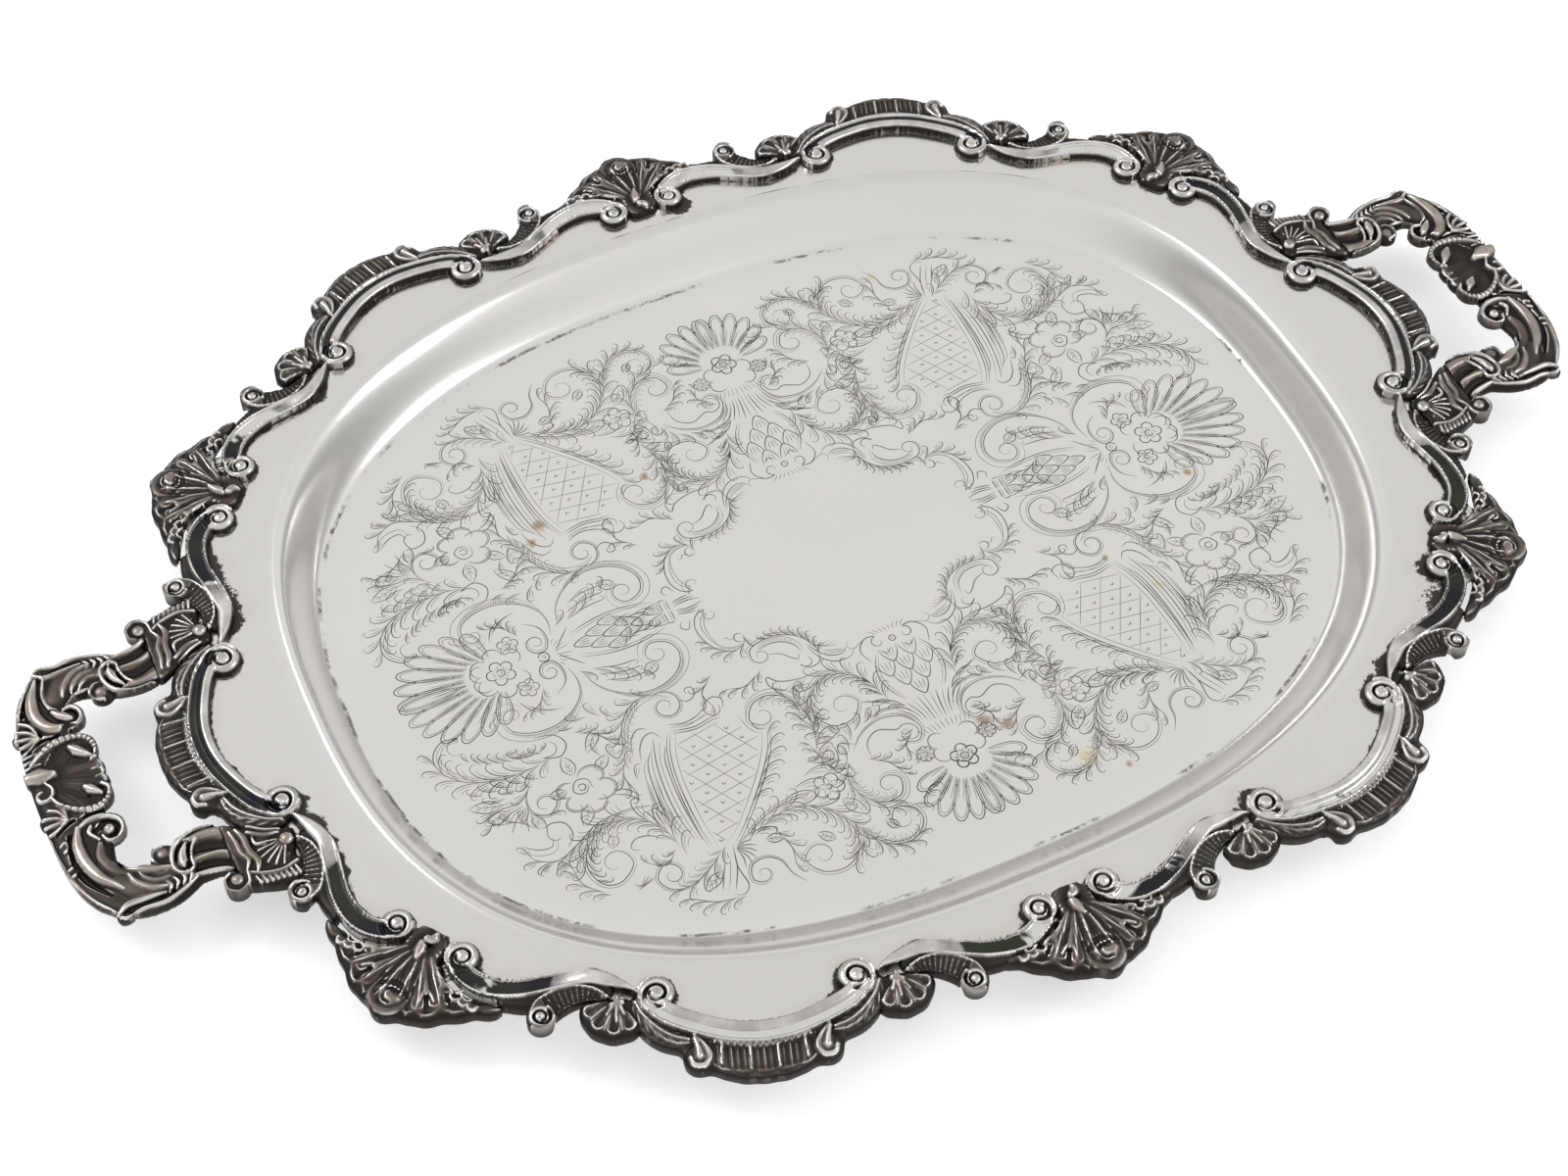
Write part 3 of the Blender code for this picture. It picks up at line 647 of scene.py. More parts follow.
def root_relief():
    """Block with a seven-lobed fan, gadroons along its outer side and a collar by the handle."""
    r = Relief((258, 34), (298, 78))
    edge = smooth_path(ROOT_EDGE + ROOT_EDGE[:1], 4)[:-1]
    depth = inside_polygon(edge, r.x, r.y)
    r.add(depth, 2.3 + 0.8 * ramp(r.x, 278, 288), roll=2.0)
    lobes = 7
    far, place, swell, ridge, margin = fan_fields(r, ROOT_HINGE, lobes, -28.0, 84.0)
    reach = 11.6 + 0.9 * swell + 1.2 * np.sin(np.pi * np.clip(place / lobes, 0, 1))
    fan = np.minimum(reach - far, margin)
    r.add(np.minimum(fan, depth), 3.4 + 0.8 * np.sin(np.clip(far / 12, 0, 1) * 3), roll=1.0)
    on = (fan > 0.4) & (depth > 0.8)
    r.press(np.where(on, 1.0 * swell ** 0.8 * ramp(far, 2.5, 6), 0))
    r.z += np.where(on, 0.6 * dome(ridge / 0.5) * ramp(far, 2, 5), 0)
    r.ball(ROOT_HINGE, 3.0, 2.8, 2.1)
    # gadroons along the outer side, collar and ball by the handle
    for k in range(8):
        gx = 266.4 + 2.2 * k
        r.cord([(gx + 0.6, 68.8 - 0.22 * k, 0.8), (gx - 0.4, 72.6 - 0.34 * k, 1.2)], 2.0, 1.5, 0.25)
    r.cord([(265.4, 66.6, 0.8), (272, 68.4, 1), (279, 67, 1), (284, 64.4, 0.8)], 2.3, 1.5, 0.35)
    # neck where the handle's trumpet starts, with wrapped leaves
    for reach, width in ((0, 1.8), (3.2, 1.5)):
        r.cord([(281.0 + reach, 65.6 - reach, 0.8), (279.6 + reach, 60.6 - 0.6 * reach, width),
                (281.4 + reach, 54.6, width), (281.8 + reach, 48.6 + 0.2 * reach, width),
                (283.6 + 0.8 * reach, 43.6, 0.9)], 2.3, 1.7, 0.3)
    r.cord([(268.6, 51.4, 0.8), (274, 50.4, 1.7), (279.6, 46.6, 1.2)], 2.0, 1.7, 0.3)
    r.cord([(267.6, 50, 0.6), (273, 48, 0.9), (279, 43.8, 0.7)], 2.0, 1.6, 0.45)
    r.cord([(274.6, 55, 0.6), (278.2, 53, 1.1), (278.6, 49.6, 0.6)], 2.6, 1.5, 0.5)
    r.disc((290, 66.6), 5.0, 2.8, roll=2.6)
    r.ball((289.6, 65.8), 2.9, 2.4, 2.4, 0.55)
    r.cord([(284.6, 63, 0.8), (285.6, 68.6, 1.1), (290, 71, 1.2), (294, 68.4, 1.1), (294, 63.8, 1),
            (291, 61.6, 0.7)], 2.0, 2.0, 0.4)
    return r


ARM = [(288.6, 50.4, 10.6), (296, 48.4, 11.4), (305, 49.6, 10.8), (315, 54.2, 10.8), (325, 54.6, 10.4),
       (333.6, 49.2, 9.8), (338.6, 38, 9.6), (338.8, 22, 11.4)]
GRIP = (338.6, 4, 12.4)
HANDLE_LIFT = 0.6
KNOB = (346, 12.4)
# round bosses that swell the arms' outline: (x, y, radius)
BOSSES = [(311.8, 42.2, 4.8), (311.8, -42.2, 4.8), (333.2, 62, 3.4), (333.2, -62, 3.4), (327.4, 35.6, 6.2),
          (328, -22.2, 6.8), (328.2, 18.6, 7.4), (327.4, 8.6, 6.6), (327.2, 1.6, 6.4), (328.4, -4.6, 7.2),
          (348.2, 34, 3.4), (347.8, -9, 4.2), (346.4, 12.6, 5.6), (345.2, -25, 3.4)]


def handle_relief():
    """The whole handle seen from above: a bent bar with carved arms, corners and middle."""
    r = Relief((286, -70), (358, 70), HANDLE_CELL, edge_height=0.0)
    x, y = r.x, r.y
    loop = ARM + [GRIP] + [(px, -py, half) for px, py, half in reversed(ARM)]
    _, out, half = along_band(loop, x, y)
    depth = np.minimum(half - np.abs(out), x - 289.0)
    for bx, by, radius in BOSSES:
        depth = np.maximum(depth, radius - np.hypot(x - bx, y - by))
    r.depth = depth
    r.z = np.where(depth > 0, 2.7 * dome(1 - np.clip(depth / 4.5, 0, 1)), 0)
    for s in (-1, 1):
        handle_horn(r, s)
        handle_elbow(r, s)
    handle_back_scroll(r)
    handle_front_scroll(r)
    handle_cartouche(r)
    r.z = np.minimum(r.z, 4.6 * dome(1 - np.clip((depth + 0.3) / 2.4, 0, 1)) + 0.9)
    r.cord([(350.0, KNOB[1] + 0.5, 3.2), (345.8, KNOB[1], 4.7), (340.6, KNOB[1] - 1.0, 2.0)], 1.8, 3.3, 1.0)
    r.z = np.where(depth > 0, r.z, 0)
    return r


def mirrored(s, points):
    """The same stroke on the front (s = -1) or back (s = 1) arm of the handle."""
    return [(px, s * py, width) for px, py, width in points]


def handle_horn(r, s):
    """Fluted trumpet by the root, closed by a drop inside a hooked rim."""
    r.cord(mirrored(s, [(304, 47.6, 7), (296, 46.8, 8.8), (286, 49, 8.6)]), 1.4, 2.0, 0.1)
    r.groove(mirrored(s, [(303, 46.8, 1.8), (296, 46, 3), (286, 49.4, 3)]), 1.9)
    r.groove(mirrored(s, [(303, 53.8, 1.4), (296, 54.2, 2.3), (287, 57.6, 2.2)]), 1.7)
    r.cord(mirrored(s, [(302.6, 40.8, 1.6), (295, 40.4, 2.4), (288, 42.2, 2.2), (284, 46, 1.4)]),
           2.2, 1.9, 0.75)
    r.cord(mirrored(s, [(303, 50.4, 0.9), (296, 50.4, 1.2), (290, 51.8, 1.2), (286, 56, 1)]), 2.4, 1.6, 0.5)
    r.cord(mirrored(s, [(303, 57, 1.1), (297, 57.6, 1.4), (291, 59.4, 1.3), (288, 63, 1)]), 1.7, 2.0, 0.45)
    r.groove(mirrored(s, [(306.4, 51.6, 2.6), (306.2, 47.6, 3.4), (302.8, 42.4, 1.8)]), 2.2)
    r.cord(mirrored(s, [(302.8, 53.6, 0.8), (305.6, 55, 1.1), (309.2, 53, 1.2), (310, 48, 1.3),
                        (308.2, 42.6, 1.4), (304, 38.8, 1.5), (298.2, 37, 1.3), (291, 37.6, 0.8)]),
           2.2, 2.4, 0.7)
    r.cord(mirrored(s, [(302.6, 53.4, 0.7), (302.4, 48.4, 0.8), (300.6, 43.8, 0.8), (298, 41, 0.5)]),
           2.6, 1.7, 0.6)
    r.cord(mirrored(s, [(306.2, 51.4, 1.2), (306.2, 49.6, 2.3), (305.2, 45.6, 1.8), (302.6, 41.8, 0.7)]),
           2.3, 2.7, 1.0)


def handle_elbow(r, s):
    """Round bend with a small curl inside, leaf strokes on top and a lip that ends in a spike."""
    r.cord(mirrored(s, [(310, 51, 4), (317, 53.8, 6.2), (325, 52.8, 6.4), (331, 47, 5)]), 1.7, 2.4, 0.12)
    r.ball((312.2, s * 42.6), 3.3, 1.6, 2.3, 0.5)
    r.cord(mirrored(s, [(309.6, 46.6, 0.9), (313.6, 47.2, 1.1), (316.4, 44.2, 1.2), (315.6, 40.2, 1.1),
                        (311.8, 38.8, 1)]), 1.7, 1.9, 0.45)
    r.cord(mirrored(s, [(316.4, 46, 1), (321.6, 45.8, 1.1), (326.6, 42, 1)]), 1.9, 1.7, 0.5)
    for lift, reach in ((0, 1), (3, 0.85), (5.8, 0.66)):
        r.cord(mirrored(s, [(327.0 - 1.2 * lift, 46.0 + 0.1 * lift, 0.5),
                            (325.0 - 1.2 * lift, 51.0 - 0.25 * lift, 1.5 * reach),
                            (320.4 - 1.0 * lift, 55.6 - 0.75 * lift, 1.7 * reach),
                            (314.6 - 0.6 * lift, 57.4 - 1.2 * lift, 0.6)]), 3.3, 1.3 * reach, 0.75)
    r.cord(mirrored(s, [(303, 57.8, 0.9), (309, 60.8, 1.2), (317, 63.2, 1.3), (326, 62.8, 1.2),
                        (332, 64.2, 1), (335, 63, 0.7)]), 1.5, 2.1, 0.5)
    r.groove(mirrored(s, [(310, 58.6, 0.5), (318, 60.8, 1), (328, 60.6, 1.2), (334, 61.6, 0.5)]), 1.4)
    r.cord(mirrored(s, [(335.4, 61.6, 0.9), (331, 58.6, 1.6), (324, 58.8, 1.4), (316, 59.6, 0.6)]),
           2.3, 1.8, 0.7)
    for k in range(4):
        lx, ly = 304.6 + 2.9 * k, 58.2 + 0.5 * k
        r.cord(mirrored(s, [(lx + 1.6, ly + 0.6, 0.4), (lx, ly - 2.0, 1.1), (lx + 1.4, ly - 5.0, 0.4)]),
               2.6, 1.6, 0.6)


def leaf_spray(r, root, tips):
    """Narrow leaves that fan out from one root towards the outer side."""
    for tx, ty in tips:
        mx, my = 0.45 * root[0] + 0.55 * tx, 0.45 * root[1] + 0.55 * ty
        bend = 0.12 * (ty - root[1])
        r.cord([(*root, 0.5), (mx - abs(bend), my + bend, 1.3), (tx, ty, 1.0)], 2.0, 1.9, 0.6)


def handle_back_scroll(r):
    """Broad roll round the back corner, wound into a volute on the inner side."""
    r.cord([(336, 60, 0.9), (343, 50.6, 1.3), (347, 41.6, 1.3), (349.8, 31.8, 1.1), (350.2, 24, 0.9)],
           1.3, 2.2, 0.5)
    r.cord([(346.2, 44.4, 0.7), (343.6, 46.8, 0.9), (342.4, 44.2, 0.8), (344.6, 42.8, 0.6)], 2.4, 1.4, 0.55)
    r.groove([(334, 59, 0.8), (342.4, 48, 1.5), (344, 39, 1.5), (340.4, 31.6, 0.9)], 1.7)
    r.cord([(332, 58, 0.6), (334.2, 50, 1.3), (333.4, 43, 1.2), (330.4, 40.6, 0.6)], 2.9, 1.3, 0.3)
    r.cord([(335, 58.6, 0.8), (338.8, 50, 2.8), (339.8, 41.6, 3.2), (337, 34.8, 3), (331.8, 31.6, 2.2),
            (326.8, 31.4, 1.3)], 2.0, 2.8, 0.9)
    r.groove([(333.6, 41.4, 0.8), (327.8, 37.6, 3.4), (326, 33.4, 1.2)], 1.6)
    r.cord([(331.6, 31, 1), (326.4, 30.8, 1.4), (322.9, 33.4, 1.4), (322.9, 37.6, 1.3), (325.6, 40.4, 1.2),
            (328.8, 39.8, 0.8)], 2.0, 2.3, 0.65)
    r.cord([(333, 40, 1.1), (330.8, 37.8, 2.2), (328, 35.4, 2), (326.4, 34.2, 0.9)], 2.6, 2.4, 1.0)
    leaf_spray(r, (341, 30.6), [(346.4, 40.4), (348.8, 36.8), (350, 32.6), (350.4, 28.4), (349.8, 24.4)])
    r.groove([(348, 24, 0.5), (341, 29, 0.9), (333, 28.6, 0.9), (322, 28.2, 0.9)], 2.2)


def handle_front_scroll(r):
    """Long roll down to the front corner, from a volute beside the scallop."""
    r.cord([(336, -60, 0.9), (342.6, -51, 1.3), (347.2, -40, 1.3), (349.6, -28, 1.1), (350.2, -18, 0.9)],
           1.3, 2.2, 0.5)
    for cy in (-24, -36):
        r.cord([(346.6, cy - 2.0, 0.7), (344.2, cy, 0.9), (345.2, cy + 2.4, 0.8), (347.4, cy + 1.2, 0.6)],
               2.3, 1.4, 0.55)
    r.groove([(343, -19, 0.9), (344.4, -30, 1.4), (342.6, -41, 1.5), (335.4, -52, 0.8)], 1.7)
    r.cord([(333, -28, 1.6), (334.4, -34, 2.6), (331.6, -41.6, 2.8), (325.6, -46.6, 2)], 2.2, 1.7, 0.2)
    r.cord([(339, -17.6, 1.4), (341, -25, 2.6), (340.4, -34, 3), (337.2, -42.4, 2.8), (333, -48, 1.8),
            (330.4, -51.6, 0.8)], 2.0, 2.8, 0.9)
    r.cord([(328, -38.6, 0.9), (324.6, -43.6, 1.9), (318.6, -47.6, 2.4), (311.6, -49.6, 1)], 2.9, 1.9, 0.85)
    r.groove([(334, -22, 1), (328, -18.4, 1.6), (324.6, -22.4, 1.6), (328, -26.4, 1.4)], 1.6)
    r.cord([(339, -18, 1), (334, -15.6, 1.5), (328, -16, 1.6), (323.4, -19.2, 1.5), (322.4, -24, 1.4),
            (325.2, -28.2, 1.3), (329.4, -27.8, 1), (331, -24.6, 0.8)], 2.0, 2.5, 0.65)
    r.ball((327.8, -22.6), 2.4, 2.5, 2.2, 0.9)
    r.cord([(332.6, -26, 0.7), (335.4, -21.6, 1.2), (334, -18.6, 0.8)], 2.9, 1.5, 0.55)
    leaf_spray(r, (341.4, -12), [(343.4, -3.6), (347, -4.6), (349.8, -8), (350.4, -12.2), (349.6, -16.4)])
    r.groove([(347, -16.8, 0.5), (340, -12.8, 0.9), (331, -13, 0.9), (322, -13.6, 0.9)], 2.2)


def handle_cartouche(r):
    """Dished scallop hinged at a knob on the outer side, between two ribbed C rims with drops."""
    x, y = r.x, r.y
    dx, dy = KNOB[0] - x, y - KNOB[1]
    far = np.hypot(dx, dy)
    lean = np.degrees(np.arctan2(dy, dx))
    upper, lower = 52.0, -74.0
    fan = (lean < upper) & (lean > lower) & (far < 27) & (r.depth > 0.6)
    place = (lean - lower) / (upper - lower)
    dish = 2.6 - 1.0 * np.sin(np.clip(far / 22, 0, 1) * np.pi)
    ribs = 0.22 * np.abs(np.sin(np.pi * 17 * place)) * ramp(far, 4, 7) * (1 - ramp(far, 17, 24))
    waves = 0.5 * np.sin(np.pi * 4.5 * place) ** 2 * ramp(far, 8, 18)
    r.z = np.where(fan, dish + ribs + waves, r.z)
    r.polish = np.where(fan, 0.03, r.polish)
    back = [(347.6, 18.6, 1), (343, 22.6, 1.5), (337, 25.6, 1.9), (330, 26, 2), (324.4, 23.6, 1.9),
            (322, 18.8, 1.7), (322.4, 14, 1.4), (325, 12, 0.9)]
    front = [(344.6, 1, 0.9), (342, -4, 1.3), (336, -9, 1.7), (329.4, -10.6, 1.8), (324.2, -8.6, 1.7),
             (322.2, -4, 1.5), (324.4, -0.6, 1)]
    for rim in (back, front):
        r.cord(rim, 1.9, 2.5, 0.5)
        path = smooth_path(rim, 8)[8:-10]
        for k in range(2, len(path) - 2, 3):
            step = path[k + 1, :2] - path[k - 1, :2]
            across = np.array((-step[1], step[0])) / np.hypot(*step) * path[k, 2]
            near, off = path[k, :2] - across, path[k, :2] + across
            r.groove([(*near, 0.3), (*path[k, :2], 0.4), (*off, 0.3)], 0.7)
    r.groove([(331, 20.6, 1.2), (327.4, 17.6, 3.6), (325.6, 14.6, 2)], 1.3)
    r.cord([(331.2, 20.6, 1.5), (329.4, 18.8, 2.7), (326.6, 15.6, 2), (324.6, 13.6, 1)], 2.4, 2.8, 1.0)
    r.groove([(330, -3.6, 1.4), (328, -2, 3), (325.6, -3, 1.4)], 1.3)
    r.cord([(330.8, -0.2, 1.5), (329.2, -1.6, 2.6), (327.2, -3.8, 1.8), (325.6, -5.4, 0.9)], 2.4, 2.7, 1.0)
    for px, py in ((323.4, 9.6), (322.8, 5.6), (323, 1.8)):
        r.cord([(px + 2.6, py + 1.9, 0.5), (px - 0.2, py + 1.4, 0.7), (px - 0.2, py - 1.4, 0.7),
                (px + 2.6, py - 1.9, 0.5)], 2.0, 1.2, 0.55)
    r.cord([(344.8, 8.4, 0.7), (342.8, 4.6, 1), (344.6, 0.6, 1.1), (348.4, 0.4, 1), (349, 3.8, 0.8),
            (347, 5, 0.6)], 2.2, 2.0, 0.6)
    for ty in (16.8, 19.6, 22.2):
        r.cord([(344.0, ty + 1.6, 0.6), (349.6, ty + 0.8, 1.1)], 2.0, 1.8, 0.5)


# ---------------------------------------------------------------- the stamped sheet

FLOOR_HALF, FLOOR_POWER = (218.7, 167.2), 2.52
FOOT_HALF, TOP_HALF, SHOULDER_POWER = (221.5, 170.2), (236, 195), 2.5
# the dark line at the foot of the shoulder lies this much further out than the foot
FOOT_LINE = 1.004
SHOULDER_TOP, RIM_LEVEL = 22.5, 23.0
RIM_HALF, RIM_POWER = (275, 216.5), 2.17
CROWN_RISE, C_CROWN_WIDTH, SHELL_CROWN_WIDTH = 24.0, 38.0, 27.0
HANDLE_LAND, HANDLE_LAND_WIDTH = (276.5, 58), 13.5
SHEET_MM = 1.2
RIM_START = 2.6
EDGE_ROUND = 0.35
FAR_OFF = 50.0


def oval(half, power, angle):
    """Radius of a superellipse at an angle."""
    return ((np.abs(np.cos(angle)) / half[0]) ** power
            + (np.abs(np.sin(angle)) / half[1]) ** power) ** (-1 / power)


def outward(a, b):
    """Unit vector square to the line from a to b, away from the tray's middle."""
    direction = (b - a) / np.hypot(*(b - a))
    square = np.array((-direction[1], direction[0]))
    return square if square @ a > 0 else -square


def rim_edge(angle):
    """Scalloped edge of the sheet, swelling out under every casting."""
    bearing = np.arctan2(np.abs(np.sin(angle)), np.abs(np.cos(angle)))
    radius = oval(RIM_HALF, RIM_POWER, bearing)
    crowns = [((END_C[0] + CROWN_RISE, 0.0), C_CROWN_WIDTH), (HANDLE_LAND, HANDLE_LAND_WIDTH),
              ((CORNER_END + CORNER_SIDE) / 2 + CROWN_RISE * outward(CORNER_END, CORNER_SIDE),
               SHELL_CROWN_WIDTH),
              ((SIDE_OUTER + SIDE_INNER) / 2 + CROWN_RISE * outward(SIDE_OUTER, SIDE_INNER), C_CROWN_WIDTH),
              ((0.0, MID_S[1] + CROWN_RISE), SHELL_CROWN_WIDTH)]
    for crown, width in crowns:
        length, aim = math.hypot(*crown), math.atan2(crown[1], crown[0])
        swell = length - oval(RIM_HALF, RIM_POWER, np.array(aim))
        radius = radius + swell * np.exp(-(length * (bearing - aim) / width) ** 4)
    return radius


def covered_edge(angle, castings):
    """The scalloped edge, moved in or out to the outermost place that a casting covers."""
    free = rim_edge(angle)
    radius = free.copy()
    aim = np.stack([np.cos(angle), np.sin(angle)], -1)
    least_cover = 1.6
    # shifts in mm from the free edge, from the innermost to the outermost
    for shift in np.arange(-10, 8, 0.5):
        hidden = nearest_casting((free + shift)[:, None] * aim, castings) < -least_cover
        radius = np.where(hidden, free + shift, radius)
    # a running minimum, then a running mean, over two degrees to each side keep the edge smooth
    reach = len(angle) // 180
    low = np.min([np.roll(radius, k) for k in range(-reach, reach + 1)], axis=0)
    return np.mean([np.roll(low, k) for k in range(-reach, reach + 1)], axis=0)


def tray_rings(angle, castings):
    """Rings of the sheet's lower side as (radius, height), from the centre to the edge."""
    rings = []
    floor = oval(FLOOR_HALF, FLOOR_POWER, angle)
    for share in (0.02, 0.3, 0.6, 0.85, 0.96, 0.985, 1):
        rings.append((floor * share, 0.0))
    steps = 24
    foot, top = oval(FOOT_HALF, SHOULDER_POWER, angle), oval(TOP_HALF, SHOULDER_POWER, angle)
    for k in range(steps + 1):
        t = k / steps
        height = 0.6 + (SHOULDER_TOP - 0.6) * (3 - 2 * t) * t * t
        rings.append((foot + (top - foot) * t, height))
    edge = covered_edge(angle, castings)
    # a fine bead where the shoulder turns into the rim
    for step, rise in ((0.35, 0.22), (0.75, 0.30), (1.15, 0.22), (1.7, 0.06)):
        rings.append((top + step, SHOULDER_TOP + rise))
    start = top + RIM_START
    steps = 36
    for k in range(steps + 1):
        t = k / steps
        height = SHOULDER_TOP + 0.06 + (RIM_LEVEL - SHOULDER_TOP - 0.06) * t
        rings.append((start + (edge - start) * t, height))
    return rings


# Places on the rim where the dark bloom spreads far from the castings: (x, y, reach)
BLOOMS = [(-250, 80, 24), (-247, 62, 18), (-248, -46, 13), (214, -126, 12), (208, -142, 11),
          (168, -169, 12), (84, -197, 10), (20, 200, 10)]


def bloom(plan):
    """How strongly the dark bloom spreads at each point: 1 in the middle of a patch, 0 outside."""
    share = np.zeros(len(plan))
    for x, y, reach in BLOOMS:
        away = np.hypot(plan[:, 0] - x, plan[:, 1] - y)
        share = np.maximum(share, 1 - ramp(away, 0.35 * reach, reach))
    return share


def nearest_casting(plan, castings):
    """Distance in mm from points on the rim to the castings' outlines, from their grids."""
    closest = np.full(len(plan), FAR_OFF)
    folded = np.abs(plan)
    for relief, origin, direction in castings:
        direction = np.array(direction, float) / np.hypot(*direction)
        away = np.array((-direction[1], direction[0]))
        away = away if away @ origin > 0 else -away
        local = np.stack([(folded - origin) @ direction, (folded - origin) @ away], -1)
        low = np.array((relief.x[0, 0], relief.y[0, 0]))
        cells = np.round((local - low) / relief.cell).astype(int)
        rows, columns = relief.depth.shape
        inside = np.clip(cells, 0, (columns - 1, rows - 1))
        beyond = np.hypot(*(cells - inside).T) * relief.cell
        closest = np.minimum(closest, beyond - relief.depth[inside[:, 1], inside[:, 0]])
    return closest


def tray_mesh(castings):
    """The sheet: rings of its upper side out to the rounded edge, and back below to the centre."""
    count = 1080
    angle = 2 * np.pi * np.arange(count) / count
    rings = tray_rings(angle, castings)
    upper = [(radius, height + SHEET_MM) for radius, height in rings]
    edge = rings[-1][0]
    upper += [(edge + EDGE_ROUND, RIM_LEVEL + SHEET_MM * share) for share in (0.7, 0.3)]
    floor = oval(FLOOR_HALF, FLOOR_POWER, angle)
    # below, every fourth ring will do, from the rim back down the shoulder
    lower = [(edge, RIM_LEVEL)] + rings[len(rings) - 14:5:-4]
    lower += [(floor * share, 0.0) for share in (1, 0.5, 0.02)]
    layers = []
    for radius, height in upper + lower:
        layers.append(np.stack([radius * np.cos(angle), radius * np.sin(angle), np.full(count, height)],
                               -1))
    points = np.concatenate(layers)
    rows = len(layers)
    index = np.arange(rows * count).reshape(rows, count)
    following = np.roll(index, -1, axis=1)
    faces = np.stack([index[:-1], index[1:], following[1:], following[:-1]], -1).reshape(-1, 4)
    # a point in the middle closes each side with a ring of triangles
    top_centre, bottom_centre = len(points), len(points) + 1
    points = np.vstack([points, (0, 0, SHEET_MM), (0, 0, 0)])
    rim_distance = nearest_casting(points[:, :2], castings)
    rim_distance[points[:, 2] < SHOULDER_TOP] = FAR_OFF
    aim = np.arctan2(points[:, 1], points[:, 0])
    from_foot = np.hypot(points[:, 0], points[:, 1]) - oval(FOOT_HALF, SHOULDER_POWER, aim) * FOOT_LINE
    values = {"rim_distance": rim_distance, "foot_distance": from_foot, "bloom": bloom(points[:, :2])}
    caps = [(top_centre, index[0, k], following[0, k]) for k in range(count)]
    caps += [(bottom_centre, following[-1, k], index[-1, k]) for k in range(count)]
    mesh = bpy.data.meshes.new("tray_sheet")
    mesh.from_pydata((points * MM).tolist(), [], faces.tolist() + np.array(caps).tolist())
    store_fields(mesh, values)
    mesh.update()
    mesh.shade_smooth()
    mesh.set_sharp_from_angle(angle=math.radians(50))
    return mesh


# ---------------------------------------------------------------- materials


class Nodes:
    """Short notation for a material's node tree."""

    def __init__(self, name):
        self.material = bpy.data.materials.new(name)
        self.material.use_nodes = True
        self.tree = self.material.node_tree
        self.shader = self.tree.nodes["Principled BSDF"]
        self.position = self.add("ShaderNodeTexCoord").outputs["Object"]

    def add(self, kind, **settings):
        node = self.tree.nodes.new(kind)
        for key, value in settings.items():
            setattr(node, key, value)
        return node

    def link(self, source, target):
        if isinstance(source, (int, float)):
            target.default_value = source
        elif isinstance(source, tuple):
            target.default_value = source + (1.0,) if len(source) == 3 else source
        else:
            self.tree.links.new(source, target)

    def math(self, operation, a, b=0.0, c=0.0):
        node = self.add("ShaderNodeMath", operation=operation)
        for source, target in zip((a, b, c), node.inputs):
            self.link(source, target)
        return node.outputs[0]

    def times(self, a, b):
        return self.math("MULTIPLY", a, b)

    def scaled(self, value, factor, start):
        """value * factor + start"""
        return self.math("MULTIPLY_ADD", value, factor, start)

    def rest(self, value):
        """1 - value"""
        return self.math("SUBTRACT", 1.0, value)

    def attribute(self, name):
        return self.add("ShaderNodeAttribute", attribute_name=name).outputs["Fac"]

    def noise(self, scale, detail=3.0, roughness=0.55, stretch=None, distortion=0.0):
        """Noise in about -1..1 with features of 1 / scale metres."""
        node = self.add("ShaderNodeTexNoise")
        node.inputs["Scale"].default_value = scale
        node.inputs["Detail"].default_value = detail
        node.inputs["Roughness"].default_value = roughness
        node.inputs["Distortion"].default_value = distortion
        source = self.position
        if stretch:
            mapping = self.add("ShaderNodeMapping")
            mapping.inputs["Scale"].default_value = stretch[:3]
            mapping.inputs["Rotation"].default_value = (0, 0, stretch[3])
            self.tree.links.new(source, mapping.inputs["Vector"])
            source = mapping.outputs[0]
        self.tree.links.new(source, node.inputs["Vector"])
        return self.scaled(node.outputs["Fac"], 2.0, -1.0)

    def ramp(self, value, low, high):
        node = self.add("ShaderNodeMapRange", interpolation_type="SMOOTHSTEP")
        self.link(value, node.inputs["Value"])
        self.link(low, node.inputs["From Min"])
        self.link(high, node.inputs["From Max"])
        return node.outputs["Result"]

    def mix(self, share, a, b):
        node = self.add("ShaderNodeMix", data_type="RGBA")
        self.link(share, node.inputs["Factor"])
        self.link(a, node.inputs[6])
        self.link(b, node.inputs[7])
        return node.outputs[2]

    def blend(self, share, a, b):
        node = self.add("ShaderNodeMix", data_type="FLOAT")
        self.link(share, node.inputs["Factor"])
        self.link(a, node.inputs[2])
        self.link(b, node.inputs[3])
        return node.outputs[0]

    def bump(self, height, distance, strength=1.0):
        node = self.add("ShaderNodeBump")
        node.inputs["Distance"].default_value = distance
        node.inputs["Strength"].default_value = strength
        self.link(height, node.inputs["Height"])
        self.tree.links.new(node.outputs[0], self.shader.inputs["Normal"])

    def finish(self, colour, roughness, metallic):
        self.link(colour, self.shader.inputs["Base Color"])
        self.link(roughness, self.shader.inputs["Roughness"])
        self.link(metallic, self.shader.inputs["Metallic"])
        return self.material


SILVER = (0.90, 0.882, 0.868)
POLISHED = (0.70, 0.655, 0.61)
OXIDE = (0.026, 0.022, 0.020)
OXIDE_GREEN = (0.050, 0.050, 0.038)


BROWN, YELLOW = (0.36, 0.23, 0.12), (0.80, 0.72, 0.47)
# Spots that damp has left on the floor: (x, y, size in mm, colour)
STAINS = [(18.0, -108.0, 5.0, BROWN), (26.0, -113.0, 4.2, BROWN), (48.0, -142.0, 6.0, YELLOW),
          (62.0, -152.0, 2.2, BROWN), (165.0, -27.0, 2.8, BROWN), (107.0, -54.0, 2.2, BROWN),
          (121.0, -77.0, 3.6, YELLOW), (-112.0, 68.0, 4.4, BROWN), (-118.0, 60.0, 3.4, BROWN),
          (-58.0, 74.0, 3.0, BROWN), (90.0, 142.0, 3.4, YELLOW)]


